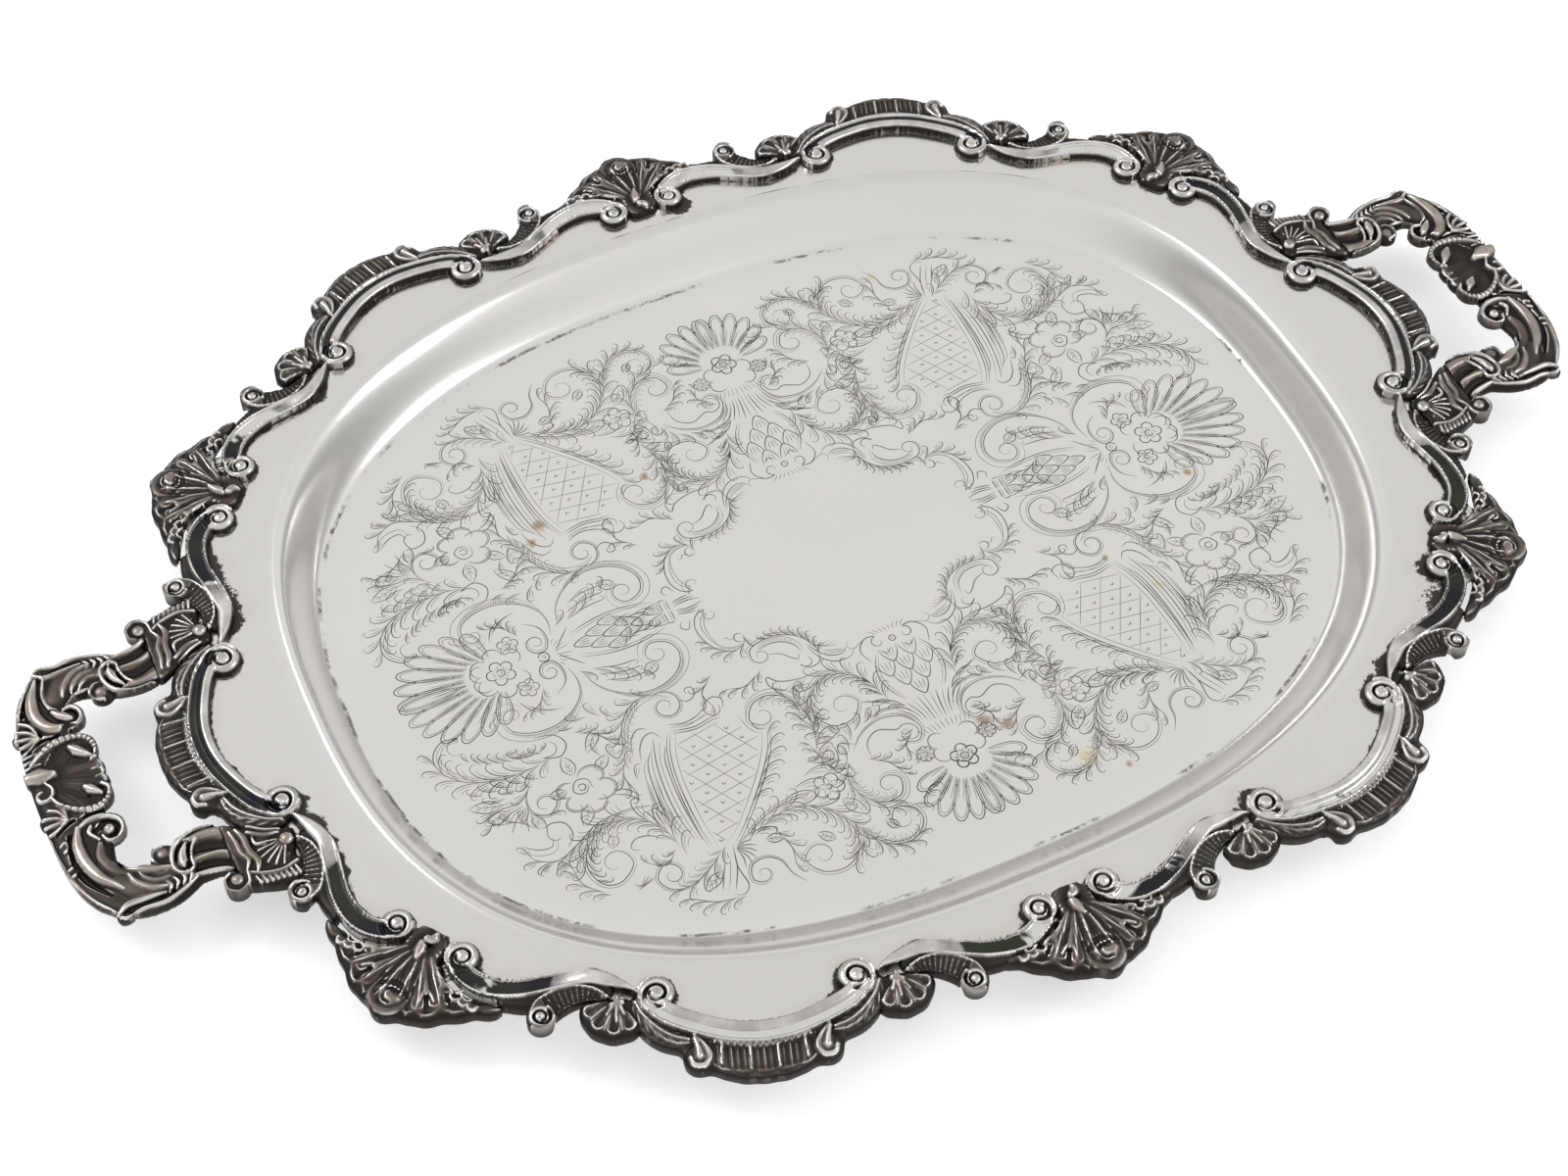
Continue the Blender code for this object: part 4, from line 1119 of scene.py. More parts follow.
def sheet_material():
    """Satin floor and rim: faint scratches, brown spots, dark lines where dirt collects, painted shade over
    the upper shoulder and rim.
    """
    n = Nodes("satin_silver_plate")
    rim = n.attribute("rim_distance")
    foot = n.attribute("foot_distance")
    cloud = n.noise(9, 4)
    colour = n.mix(n.ramp(cloud, -0.5, 0.6), (0.855, 0.835, 0.808), (0.89, 0.868, 0.845))
    # painted shade: the upper part of the shoulder and the rim are made darker than the floor
    colour = n.mix(n.times(n.ramp(foot, 12.0, 26.0), 0.6), colour, (0.775, 0.752, 0.728))
    warm = n.ramp(n.noise(14, 3), 0.25, 0.75)
    colour = n.mix(n.times(warm, 0.35), colour, (0.86, 0.82, 0.77))
    # dirt along the castings, broken into patches
    width = n.scaled(n.ramp(n.noise(21, 3), 0.05, 0.45), 3.8, 0.7)
    edge = n.scaled(n.noise(260, 5, 0.7), 2.2, rim)
    ragged = n.scaled(n.noise(75, 5, 0.75), 6.0, 3.2)
    ragged = n.scaled(n.noise(420, 4, 0.8), 4.0, ragged)
    spread = n.times(n.attribute("bloom"), ragged)
    edge = n.math("SUBTRACT", edge, n.math("ADD", spread, width))
    dirt = n.rest(n.ramp(edge, -0.7, 0.25))
    halo = n.math("SUBTRACT", rim, n.times(n.attribute("bloom"), 6.0))
    halo = n.rest(n.ramp(halo, 0.5, 6.0))
    halo = n.times(halo, n.ramp(n.noise(30, 3), -0.2, 0.6))
    colour = n.mix(n.times(halo, 0.45), colour, (0.62, 0.50, 0.36))
    # broken dark line at the foot of the shoulder
    line = n.math("ABSOLUTE", n.scaled(n.noise(150, 4), 0.9, foot))
    line = n.rest(n.ramp(line, 0.45, 1.15))
    line = n.times(line, n.ramp(n.noise(22, 4), -0.05, 0.10))
    line = n.times(line, n.ramp(n.noise(170, 4, 0.8), -0.22, 0.12))
    dark = n.math("MAXIMUM", dirt, n.times(line, 0.8))
    for x, y, size, tone in STAINS:
        away = n.add("ShaderNodeVectorMath", operation="DISTANCE")
        n.tree.links.new(n.position, away.inputs[0])
        away.inputs[1].default_value = (x * MM, y * MM, SHEET_MM * MM)
        ragged = n.scaled(n.noise(240, 4, 0.7), 0.8 * size * MM, away.outputs["Value"])
        share = n.rest(n.ramp(ragged, 0.15 * size * MM, size * MM))
        colour = n.mix(n.times(share, 0.75), colour, tone)
    # a few brown spots
    spots = n.add("ShaderNodeTexVoronoi", feature="F1")
    spots.inputs["Scale"].default_value = 26
    n.tree.links.new(n.position, spots.inputs["Vector"])
    spot = n.rest(n.ramp(spots.outputs["Distance"], 0.04, 0.13))
    spot = n.times(spot, n.ramp(n.noise(12, 2), 0.30, 0.45))
    colour = n.mix(n.times(spot, 0.5), colour, (0.55, 0.42, 0.28))
    colour = n.mix(dark, colour, (0.045, 0.038, 0.032))
    scratch = n.noise(90, 4, 0.6, stretch=(1, 14, 1, 0.5))
    cross = n.noise(120, 4, 0.6, stretch=(16, 1, 1, 0.2))
    height = n.math("ADD", n.times(scratch, 0.5), n.times(cross, 0.5))
    n.bump(height, 0.00001, 0.3)
    rough = n.scaled(height, 0.05, 0.19)
    rough = n.blend(dark, rough, 0.6)
    return n.finish(colour, rough, n.blend(dark, 1.0, 0.4))


def casting_material(name, tarnish, body_tone=(0.150, 0.120, 0.095), polished=POLISHED, rub=0.0):
    """Oxide in the hollows, rubbed ridges, crest lines partly rubbed and partly a painted highlight,
    polished bands, and sharp-edged tarnish in channels.
    """
    n = Nodes(name)
    polish = n.attribute("polish")
    fine = n.noise(520, 5, 0.65)
    broad = n.noise(60, 3)
    level = n.scaled(fine, 0.22, n.attribute("body"))
    level = n.scaled(broad, 0.22, level)
    oxide = n.mix(n.ramp(n.noise(26, 2), 0.1, 0.7), OXIDE, OXIDE_GREEN)
    colour = n.mix(n.ramp(level, -0.45, 1.15), oxide, body_tone)
    rubbed = n.times(polish, n.ramp(level, -0.40 - rub, 0.52 - rub))
    rubbed = n.times(rubbed, n.blend(n.ramp(n.noise(95, 4, 0.6), -0.35, 0.5), 0.55, 1.0))
    colour = n.mix(rubbed, colour, polished)
    # crest lines turn bare silver: partly rubbed wear, partly a painted highlight along the sharpest ridges
    crest = n.scaled(fine, 0.03, n.attribute("crest"))
    crest = n.times(n.ramp(crest, 0.08, 0.28), 0.80)
    colour = n.mix(crest, colour, SILVER)
    # channels: polished where clean, dark with hard edges where tarnished
    patch = n.math("ADD", n.noise(24, 4, 0.6, distortion=0.6), tarnish)
    patch = n.ramp(patch, -0.02, 0.06)
    hue = n.mix(n.ramp(n.noise(40, 2), -0.3, 0.4), (0.030, 0.026, 0.034), (0.046, 0.052, 0.036))
    hue = n.mix(n.ramp(n.noise(63, 3), 0.2, 0.6), hue, (0.075, 0.050, 0.042))
    clean = n.mix(n.ramp(n.noise(70, 4), 0.0, 0.8), (0.82, 0.80, 0.77), (0.55, 0.50, 0.45))
    creep = n.scaled(n.noise(34, 4), 0.10, n.attribute("stain"))
    least = 0.84 - 0.42 * max(tarnish, 0.0)
    channel_share = n.ramp(creep, least, least + 0.10)
    colour = n.mix(channel_share, colour, n.mix(patch, clean, hue))
    bright = n.math("MAXIMUM", rubbed, crest)
    dark = n.blend(channel_share, n.rest(bright), n.times(patch, 0.5))
    n.bump(n.scaled(fine, 0.7, n.times(broad, 0.3)), 0.00008, 0.6)
    return n.finish(colour, n.blend(dark, 0.19, 0.42), n.blend(dark, 1.0, 0.85))


# ---------------------------------------------------------------- engraving on the floor
#
# Strokes are drawn in one quadrant, in mm from the middle of the pattern with +X to the right
# and +Y away from the long axis, and mirrored into the other three.

PATTERN_CENTRE = (2.5, 0.5)
LINE, FINE = 0.33, 0.20
CUT_STEP = 0.9


def unit_normals(path):
    """Unit vectors to the left of a path at each of its points."""
    tangent = np.gradient(path, axis=0)
    tangent /= np.maximum(np.hypot(*tangent.T)[:, None], 1e-9)
    return np.stack([-tangent[:, 1], tangent[:, 0]], -1)


def resampled(path, step):
    """The same path with points at even steps."""
    lengths = np.concatenate([[0], np.cumsum(np.hypot(*np.diff(path, axis=0).T))])
    count = max(4, int(lengths[-1] / step) + 1)
    places = np.linspace(0, lengths[-1], count)
    return np.stack([np.interp(places, lengths, path[:, k]) for k in (0, 1)], -1)


class Engraver:
    """Collects tapering strokes."""

    def __init__(self):
        self.strokes = []

    def cut(self, path, half=LINE, taper=0.5):
        """One stroke along a path, thinning to its ends."""
        path = resampled(np.asarray(path, float), CUT_STEP)
        t = np.linspace(0, 1, len(path))
        width = half * np.clip(np.sin(np.pi * t), 0.0, 1) ** taper + 0.02
        self.strokes.append((path, width))

    def line(self, points, half=LINE, taper=0.5):
        """A stroke along a smooth curve through some points."""
        self.cut(smooth_path(points, 8), half, taper)

    def circle(self, centre, radius, half=LINE):
        angle = np.linspace(0, 2 * np.pi, 24)
        path = np.stack([centre[0] + radius * np.cos(angle), centre[1] + radius * np.sin(angle)], -1)
        self.cut(path, half, 0.1)

    def arc(self, centre, radius, bearing, spread, points=14, half=LINE, taper=0.5, squash=1.0):
        """Part of a circle, spread degrees to each side of a bearing in radians; returns it."""
        angle = np.radians(np.linspace(-spread, spread, points)) + bearing
        path = np.stack([centre[0] + radius * np.cos(angle), centre[1] + radius * squash * np.sin(angle)],
                        -1)
        self.cut(path, half, taper)
        return path

    def rays(self, count, first, steps, halves=(LINE,), taper=0.5):
        """Lines side by side: each point of the first one moves by its own step each time."""
        for k in range(count):
            points = [(x + dx * k, y + dy * k) for (x, y), (dx, dy) in zip(first, steps)]
            self.line(points, halves[k % len(halves)], taper)

    def beside(self, path, distance, half=FINE, start=0.0, end=1.0):
        """A line beside a path; the distance swells in the middle."""
        span = path[int(start * (len(path) - 1)):int(end * (len(path) - 1)) + 1]
        t = np.linspace(0, 1, len(span))[:, None]
        self.cut(span + unit_normals(span) * distance * np.sin(np.pi * t) ** 0.6, half)

    def hatch(self, path, distance, start, end, pitch=0.9):
        """Short cross cuts between a path and the line beside it."""
        path = resampled(path, pitch)
        normal = unit_normals(path)
        count = len(path) - 1
        for k in range(int(start * count), int(end * count)):
            share = (k / count - start) / (end - start)
            reach = distance * max(math.sin(math.pi * share), 0.0) ** 0.6
            self.cut([path[k] + 0.1 * normal[k] * reach, path[k] + 0.95 * normal[k] * reach], FINE)

    def spray(self, points, centre, length):
        """Leaf lobes along a whole curve through some points."""
        self.acanthus(smooth_path(points), centre, length, 0.0, 1.0)

    def acanthus(self, path, centre, length, start, end, outward=True, half=LINE):
        """Curled leaf lobes along a path, on the side away from or towards a centre."""
        path = resampled(path, 0.5)
        normal = unit_normals(path)
        facing = np.sign(np.sum(normal * (path - centre), axis=1) + 1e-9) * (1 if outward else -1)
        normal = normal * facing[:, None]
        tangent = np.gradient(path, axis=0)
        tangent /= np.hypot(*tangent.T)[:, None]
        last = len(path) - 1
        span = (end - start) * last * 0.5
        count = max(2, int(round(span / (0.66 * length))))
        # u runs along the path and v away from it, both in leaf lengths
        edge = [(-0.40, 0.02), (0.10, 0.12), (0.50, 0.33), (0.74, 0.66), (0.60, 0.90), (0.42, 0.80)]
        folds = ([(-0.16, 0.16), (0.18, 0.28), (0.44, 0.48), (0.52, 0.70)], [(-0.08, 0.32), (0.14, 0.44),
                                                                             (0.28, 0.62), (0.28, 0.80)])
        for k in range(count):
            share = k / (count - 1)
            at = int((start + (end - start) * share) * last)
            size = length * (0.72 + 0.36 * math.sin(math.pi * (0.15 + 0.8 * share)))

            def place(points):
                return [path[at] + size * (u * tangent[at] + v * normal[at]) for u, v in points]
            self.line(place(edge), half)
            for fold in folds[:2 if outward else 1]:
                self.line(place(fold), FINE)

    def scroll(self, tail, centre, turn, sweep=430, end=0.22, inner=0.0, hatch=None, half=LINE):
        """A stem that winds into a volute; returns its path."""
        last = np.array(tail[-1], float) - centre
        radius, bearing = np.hypot(*last), math.atan2(last[1], last[0])
        points = [tuple(point) for point in tail]
        for swept in range(40, sweep + 1, 40):
            share = swept / sweep
            reach = radius * (1 - (1 - end) * share ** 0.8)
            angle = bearing + turn * math.radians(swept)
            points.append((centre[0] + reach * math.cos(angle), centre[1] + reach * math.sin(angle)))
        path = smooth_path(points, 8)
        self.cut(path, half, 0.35)
        if inner:
            self.beside(path, inner, start=0.03, end=0.72)
        if hatch:
            self.hatch(path, inner, *hatch)
        return path

    def petal(self, hinge, bearing, length, width, lines=3, start=0.25):
        """A long rounded petal from a hinge, with fine lines running out inside it."""
        def at(out, across):
            angle = math.radians(bearing)
            return (hinge[0] + out * math.cos(angle) - across * math.sin(angle),
                    hinge[1] + out * math.sin(angle) + across * math.cos(angle))
        for inset, half in ((0.0, LINE), (0.9, FINE)):
            w = width / 2 - inset
            tip = length - inset * 1.6
            self.line([at(length * start, w * 0.25), at(length * 0.55, w * 0.75), at(length * 0.82, w),
                       at(tip, w * 0.45), at(tip, -w * 0.45), at(length * 0.82, -w),
                       at(length * 0.55, -w * 0.75), at(length * start, -w * 0.25)], half, 0.3)
        for k in range(lines):
            across = width * 0.5 * ((k + 0.5) / lines - 0.5)
            self.line([at(length * start, across * 0.5), at(length * 0.5, across * 1.1),
                       at(length * (0.70 + 0.05 * (k % 2)), across * 1.3)], FINE)

    def flower(self, centre, petals, petal_radius, heart, turn=0.0):
        """Round petals about a ringed heart."""
        self.circle(centre, heart)
        self.circle(centre, heart * 0.45, FINE)
        for k in range(petals):
            bearing = turn + 2 * math.pi * k / petals
            away = heart + petal_radius * 0.85
            middle = (centre[0] + away * math.cos(bearing), centre[1] + away * math.sin(bearing))
            self.arc(middle, petal_radius, bearing, 130, taper=0.25)
            for lean in (-0.25, 0.25):
                tip = (centre[0] + (away + 0.1) * math.cos(bearing + lean),
                       centre[1] + (away + 0.1) * math.sin(bearing + lean))
                root = (centre[0] + heart * 1.2 * math.cos(bearing + lean * 0.5),
                        centre[1] + heart * 1.2 * math.sin(bearing + lean * 0.5))
                self.cut([root, tip], FINE)

    def leaf(self, base, tip, width, veins=3):
        """Almond leaf with a midrib and side veins."""
        base, tip = np.array(base, float), np.array(tip, float)
        run = tip - base
        across = np.array((-run[1], run[0])) / np.hypot(*run)
        for side in (-1, 1):
            self.line([base, base + 0.35 * run + side * across * width * 0.5,
                       base + 0.7 * run + side * across * width * 0.4, tip])
            for k in range(veins):
                start = base + run * (0.2 + 0.2 * k)
                self.line([start, start + 0.12 * run + side * across * width * 0.18,
                           start + 0.2 * run + side * across * width * 0.34], FINE)
        self.line([base, base + 0.5 * run, base + 0.85 * run], FINE)


def cartouche(e):
    """Broken C scrolls round the blank middle."""
    side = e.scroll([(57.2, 24.2), (58.6, 29), (64, 31.2), (70, 28), (73.8, 21), (74.4, 13), (71.6, 7.4),
                     (67, 5.6)], (65.6, 9.2), 1, 330, 0.3, inner=-2.6, hatch=(0.10, 0.34))
    e.beside(side, -4.2, start=0.18, end=0.52)
    e.acanthus(side, (64, 16), 5.6, 0.06, 0.42)
    e.line([(57.2, 24.2), (60.6, 23.6), (61.6, 26.6), (59, 28.4)])
    e.line([(60.4, 23.4), (63, 25.6), (64.8, 23.2), (66.4, 24.6)], FINE)
    low = e.scroll([(34, 52), (31.8, 46.6), (33.6, 39.6), (38, 34.4), (45, 31.4), (52, 31.4), (58, 33.6),
                    (59.4, 38.4)], (55, 38.4), 1, 400, 0.3)
    e.beside(low, -1.4, start=0.06, end=0.5)
    e.acanthus(low, (48, 44), 4.6, 0.10, 0.50)
    crescent = smooth_path([(38.4, 44.6), (39.6, 39.4), (44.4, 35.2), (51, 34.4), (56.2, 36.4)])
    e.cut(crescent)
    e.beside(crescent, -2.6)
    e.hatch(crescent, -2.6, 0.15, 0.95)
    e.scroll([(31.8, 46.6), (33.4, 51.6), (38.6, 52.6), (42, 49.6)], (38.6, 48.8), 1, 260, 0.5)
    e.line([(40, 43.4), (41, 46.6), (43.8, 44.6), (47, 41), (52.4, 38.8)])
    tie = smooth_path([(16.6, 50.8), (20.6, 54.8), (27.4, 54.4), (32.6, 49.6), (35.4, 41.4)])
    e.cut(tie)
    belly = smooth_path([(19.6, 49.4), (22.8, 51.8), (28, 50.8), (32, 46.8), (35, 40.4)])
    e.cut(belly)
    e.beside(belly, -3.0, start=0.05, end=0.8)
    e.hatch(belly, -3.0, 0.05, 0.62)
    e.rays(3, [(34.6, 41.4), (29.6, 43.8), (24.6, 43)], [(-1.4, 1.1), (-2, 1.2), (-1.2, 1.6)], (FINE,))
    e.scroll([(9.6, 48.8), (14.6, 50.6)], (17.6, 49), -1, 260, 0.4, half=FINE)
    e.rays(4, [(0.6, 49.4), (1, 47.6), (1.6, 46)], [(1.7, 0), (2, 0), (2.5, 0)], (FINE,))


def pineapple(e, base, length, half, swap_axes, rows):
    """Scaled bud lying along an axis, half of it in this quadrant."""
    def at(out, across):
        return (across, base + out) if swap_axes else (base + out, across)

    def breadth(out):
        t = np.clip(out / length, 0, 1)
        return half * (0.42 + 0.58 * math.sin(math.pi * min(1.0, 0.12 + 0.80 * t)) ** 0.8)

    outer = [at(length * t, breadth(length * t)) for t in (0, 0.2, 0.4, 0.6, 0.8, 1)]
    e.line(outer)
    e.line([at(length * t, breadth(length * t) - 1.4) for t in (0.05, 0.25, 0.5, 0.75, 1)], FINE)
    for row in range(rows):
        out = length * (row + 0.4) / rows
        wide = breadth(out) - 1.5
        offset = 0.0 if row % 2 else 0.5
        pitch = half * 0.62
        for k in range(3):
            middle = (k + offset) * pitch
            if middle + pitch * 0.3 > wide:
                continue
            reach = length / rows * 1.25
            e.line([at(out - reach * 0.5, middle - pitch * 0.46), at(out, middle - pitch * 0.36),
                    at(out + reach * 0.5, middle), at(out, middle + pitch * 0.36),
                    at(out - reach * 0.5, middle + pitch * 0.46)], LINE, 0.35)
            for lean in (-0.2, 0, 0.2):
                e.cut([at(out - reach * 0.45, middle + lean * pitch * 1.2),
                       at(out + reach * 0.22, middle + lean * pitch * 0.6)], FINE)


def axis_ornaments(e):
    """Buds, eyelets and collars on the two axes."""
    pineapple(e, 58.0, 27.0, 14.5, True, 4)
    pineapple(e, 85.0, 40.0, 10.5, False, 6)
    e.circle((0, 53.6), 1.5)
    e.circle((0, 53.6), 0.5, FINE)
    e.scroll([(13.6, 62), (15.6, 54.6), (11.6, 49.4), (6.6, 49.6)], (6.6, 53), 1, 330, 0.35)
    e.line([(2.6, 57.6), (5.6, 59.8), (8.2, 57.4)])
    for x in (80.2, 83.4):
        e.line([(x, 0.0), (x, 5.6)], LINE, 0.1)
        e.line([(x + 1.2, 0.0), (x + 1.2, 5.6)], FINE, 0.1)
    e.line([(80.2, 5.6), (82, 6.4), (84.6, 5.6)])
    e.rays(3, [(78.6, 1), (72, 2), (65.4, 0.8)], [(0, 1.2), (0, 1.3), (2.2, 1.9)])
    e.line([(74.6, 8), (77, 12.6), (80, 10.6), (78.4, 7.4)])
    e.circle((139, 0), 2.4)
    e.circle((139, 0), 0.9, FINE)
    e.rays(4, [(126.4, 2.4), (129.4, 1.6), (133.6, 1)], [(1.6, 1.7), (1.2, 1.6), (0, 1.2)], (FINE,))
    e.line([(124, 11), (127.6, 7), (131, 3.4), (133.4, 0)])


def hatched_scrolls(e):
    """The two large C scrolls beside the long axis."""
    inner = e.scroll([(127.6, 12), (124.6, 22), (117.6, 30), (108, 34.6), (98, 34.4), (89.6, 29.6),
                      (85.8, 22), (88, 15.2), (94.2, 12.4)], (94.6, 18.4), 1, 460, 0.2, inner=-1.2)
    e.beside(inner, -4.0, start=0.10, end=0.66)
    e.hatch(inner, -3.8, 0.20, 0.62)
    e.rays(3, [(123, 14), (113, 17), (103.6, 18), (105.4, 20.8)],
           [(-1.5, 4), (-1, 4), (-0.6, 3.8), (0, 3.6)])
    e.rays(3, [(118, 15), (110, 19.6), (106.4, 18.6)], [(0, 4), (0, 3.6), (0, 3.6)], (FINE,))
    e.spray([(126, 14), (114, 17), (102, 24)], (112, 2), 7.3)
    e.spray([(126, 40), (134, 36), (143, 39)], (134, 52), 6.5)
    outer = e.scroll([(141.6, 20.6), (135.4, 15.6), (134, 9), (136.4, 3.4), (140.6, 3)], (139.4, 8.2),
                     1, 440, 0.2)
    e.beside(outer, 1.2, start=0.05, end=0.5)
    low = e.scroll([(132, 8.6), (130.6, 17), (132.6, 24.6), (139, 31), (148, 34.6), (158, 34),
                    (165.4, 29.6), (166.6, 23.6)], (162.2, 22.8), -1, 400, 0.25, inner=1.2)
    e.beside(low, 4.4, start=0.10, end=0.70)
    e.hatch(low, 4.2, 0.30, 0.70)
    e.rays(4, [(141, 27.6), (147, 26.4), (152.6, 22.8)], [(3, -0.4), (2.6, -1.4), (1.6, -2)], (FINE, LINE))
    e.rays(3, [(166.4, 18), (168.6, 21.2), (168, 25.4)], [(2.2, 1.6), (2.2, 1.2), (2.2, 0)])


def end_palmettes(e):
    """Flower clusters with petals spread to the pattern's edge, on both axes."""
    e.flower((158.6, 0), 5, 2.5, 1.8, 0.0)
    for k in range(4):
        bearing = math.radians(-18 + 52 * k)
        e.arc((158.6 + 9.0 * math.cos(bearing), 9.0 * math.sin(bearing)), 4.2, bearing, 110)
    e.flower((150.8, 12), 5, 1.9, 1.2, 0.5)
    for bearing, length in ((0, 45), (10.5, 44.5), (21, 43), (32, 40.5), (44, 36.5), (57, 31), (72, 25)):
        e.petal((158.5, 1), bearing, length, 7.2, 2, 0.34)
    e.flower((0, 120), 5, 2.4, 1.7, 0.9)
    for k in range(3):
        bearing = math.radians(90 - 62 * k)
        e.arc((8.6 * math.cos(bearing), 112.6 + 6.4 * math.sin(bearing)), 4.0, bearing, 110)
    e.flower((14.4, 112.6), 8, 1.5, 1.1, 0.0)
    for bearing, length in ((90, 31), (76, 31.5), (62, 32), (48, 31), (34, 29), (19, 25)):
        e.petal((1, 119), bearing, length, 6.6, 2, 0.36)
    e.rays(7, [(0.8, 100), (1.2, 92.6), (1.6, 84.4)], [(1.6, -0.5), (1.9, 0), (2.8, 0.6)], (FINE, LINE))
    e.rays(6, [(1, 105), (1.2, 101.6), (1.4, 99.4)], [(1.8, 0), (2.1, 0), (2.4, 0.4)], (FINE,))


def shields(e):
    """Lattice shield, its double frame and the leaves that hold it."""
    left = smooth_path([(68.4, 73), (72.4, 82), (79.6, 92.4), (88.6, 103), (98, 113), (104.6, 118.6)])
    right = smooth_path([(105.6, 57.6), (109.6, 66), (112.4, 78), (113.6, 92), (113.8, 106), (113, 116)])
    top = smooth_path([(83, 58.6), (88, 58.4), (96, 59.6), (105.6, 57.6)])
    for path, side in ((left, -1.0), (right, 1.0), (top, -1.0)):
        for shift in (0, 1.3, 3.6):
            e.cut(path + unit_normals(path) * side * (shift - 1.3), LINE if shift < 3 else FINE)

    def within(x, y):
        """True inside the shield's frame, where the lattice is cut."""
        low = np.interp(y, left[:, 1], left[:, 0]) if y > left[0, 1] else 74.0
        high = np.interp(y, right[:, 1], right[:, 0])
        return 61.5 < y < 116.5 and low + 3.2 < x < high - 3.0

    for slope_x, slope_y, pitch in ((0.985, 0.16, 7.6), (-0.50, 0.866, 8.6)):
        for k in range(-12, 13):
            run = []
            for t in np.arange(-45, 45, 0.8):
                x = 94.0 + slope_x * t - slope_y * pitch * k
                y = 86.0 + slope_y * t + slope_x * pitch * k
                if within(x, y):
                    run.append((x, y))
            if len(run) > 4:
                e.cut(run, FINE, 0.2)
    for i in range(-6, 7):
        for k in range(-6, 7):
            a, b = (i + 0.5) * 7.9, (k + 0.5) * 8.2
            x = 94.0 + 0.985 * b - 0.50 * a
            y = 86.0 + 0.16 * b + 0.866 * a
            if within(x - 1.6, y) and within(x + 1.6, y):
                e.line([(x - 1.0, y - 0.3), (x, y + 0.8), (x + 0.8, y), (x + 0.2, y - 0.9)], LINE, 0.3)
    # volute and leaf on the inner shoulder
    inner = e.scroll([(56, 95), (51.6, 84), (50.6, 73), (53.6, 63.6), (61, 58.2), (69, 59.6), (73.4, 66)],
                     (67.6, 66.6), 1, 350, 0.3, inner=-1.3)
    e.beside(inner, -3.2, start=0.05, end=0.45)
    e.acanthus(inner, (63, 76), 8.8, 0.02, 0.46)
    e.acanthus(inner, (63, 76), 6.0, 0.20, 0.56, False, FINE)
    e.line([(73.6, 66), (72.4, 71.6), (68.4, 73)])
    e.line([(77, 62), (75.4, 70), (71.6, 75)], FINE)
    stem = smooth_path([(62.4, 108.8), (70, 109.6), (79, 109.4), (88, 112), (97, 116.6), (104.6, 120)])
    e.cut(stem)
    e.beside(stem, -1.2)
    rail = smooth_path([(55, 93), (62, 99), (72, 105), (84, 111), (95, 116)])
    e.acanthus(rail[::-1], (96, 84), 9.9, 0.02, 0.95)
    e.acanthus(left[::-1], (96, 84), 8.1, 0.42, 0.98)
    # crest with little volutes above the shield
    e.scroll([(81, 56.4), (79.6, 51.6), (83, 49), (87.6, 51)], (84.6, 54.6), 1, 300, 0.45)
    e.line([(87, 52), (92.6, 55), (99, 56), (106, 53.8)])
    e.line([(87, 54.6), (92.6, 56.8), (99, 57.8), (105.6, 55.4)], FINE)
    e.scroll([(108, 39), (102, 37.6), (97, 41), (96.6, 47), (100.6, 50.4)], (102.4, 45),
             -1, 380, 0.25, inner=1.1)
    e.scroll([(97, 44), (92.6, 46.6), (88.8, 44.4), (88.6, 41)], (90.8, 42), 1, 240, 0.4)
    over = smooth_path([(99, 41.6), (106, 37), (115, 38.4), (122.4, 45.6), (126, 55), (127, 66)])
    e.cut(over)
    e.beside(over, 1.2)
    e.beside(over, 3.0)
    e.acanthus(over, (106, 58), 7.3, 0.22, 0.82)
    e.acanthus(over, (106, 58), 5.7, 0.30, 0.80, False, FINE)


def columns(e):
    """Tall reeded leaf outside each shield."""
    for k in range(6):
        e.line([(110.4 + 1.7 * k, 58.0 + 2.6 * abs(k - 2)), (113.6 + 1.9 * k, 70.0),
                (115.4 + 2.0 * k, 84.0), (115.8 + 1.9 * k, 98.0), (115.2 + 1.4 * k, 112.0 - k)],
               LINE if k % 2 == 0 else FINE, 0.25)
    e.line([(110.6, 59), (112.8, 55), (117, 55.6), (120.6, 60), (123, 67)])
    e.line([(113.6, 52.6), (118, 51), (122.4, 55), (125, 63)])
    e.rays(5, [(120, 76), (121.6, 88), (121, 100)], [(1.3, 0), (1.2, 0), (1.6, 0)], (FINE,))
    for k in range(4):
        e.scroll([(122.6 + 2.0 * k, 103.0), (122.2 + 2.2 * k, 95.0), (124.0 + 2.2 * k, 89.6)],
                 (125.4 + 2.0 * k, 91.0), 1, 200, 0.5, half=LINE if k % 2 else FINE)


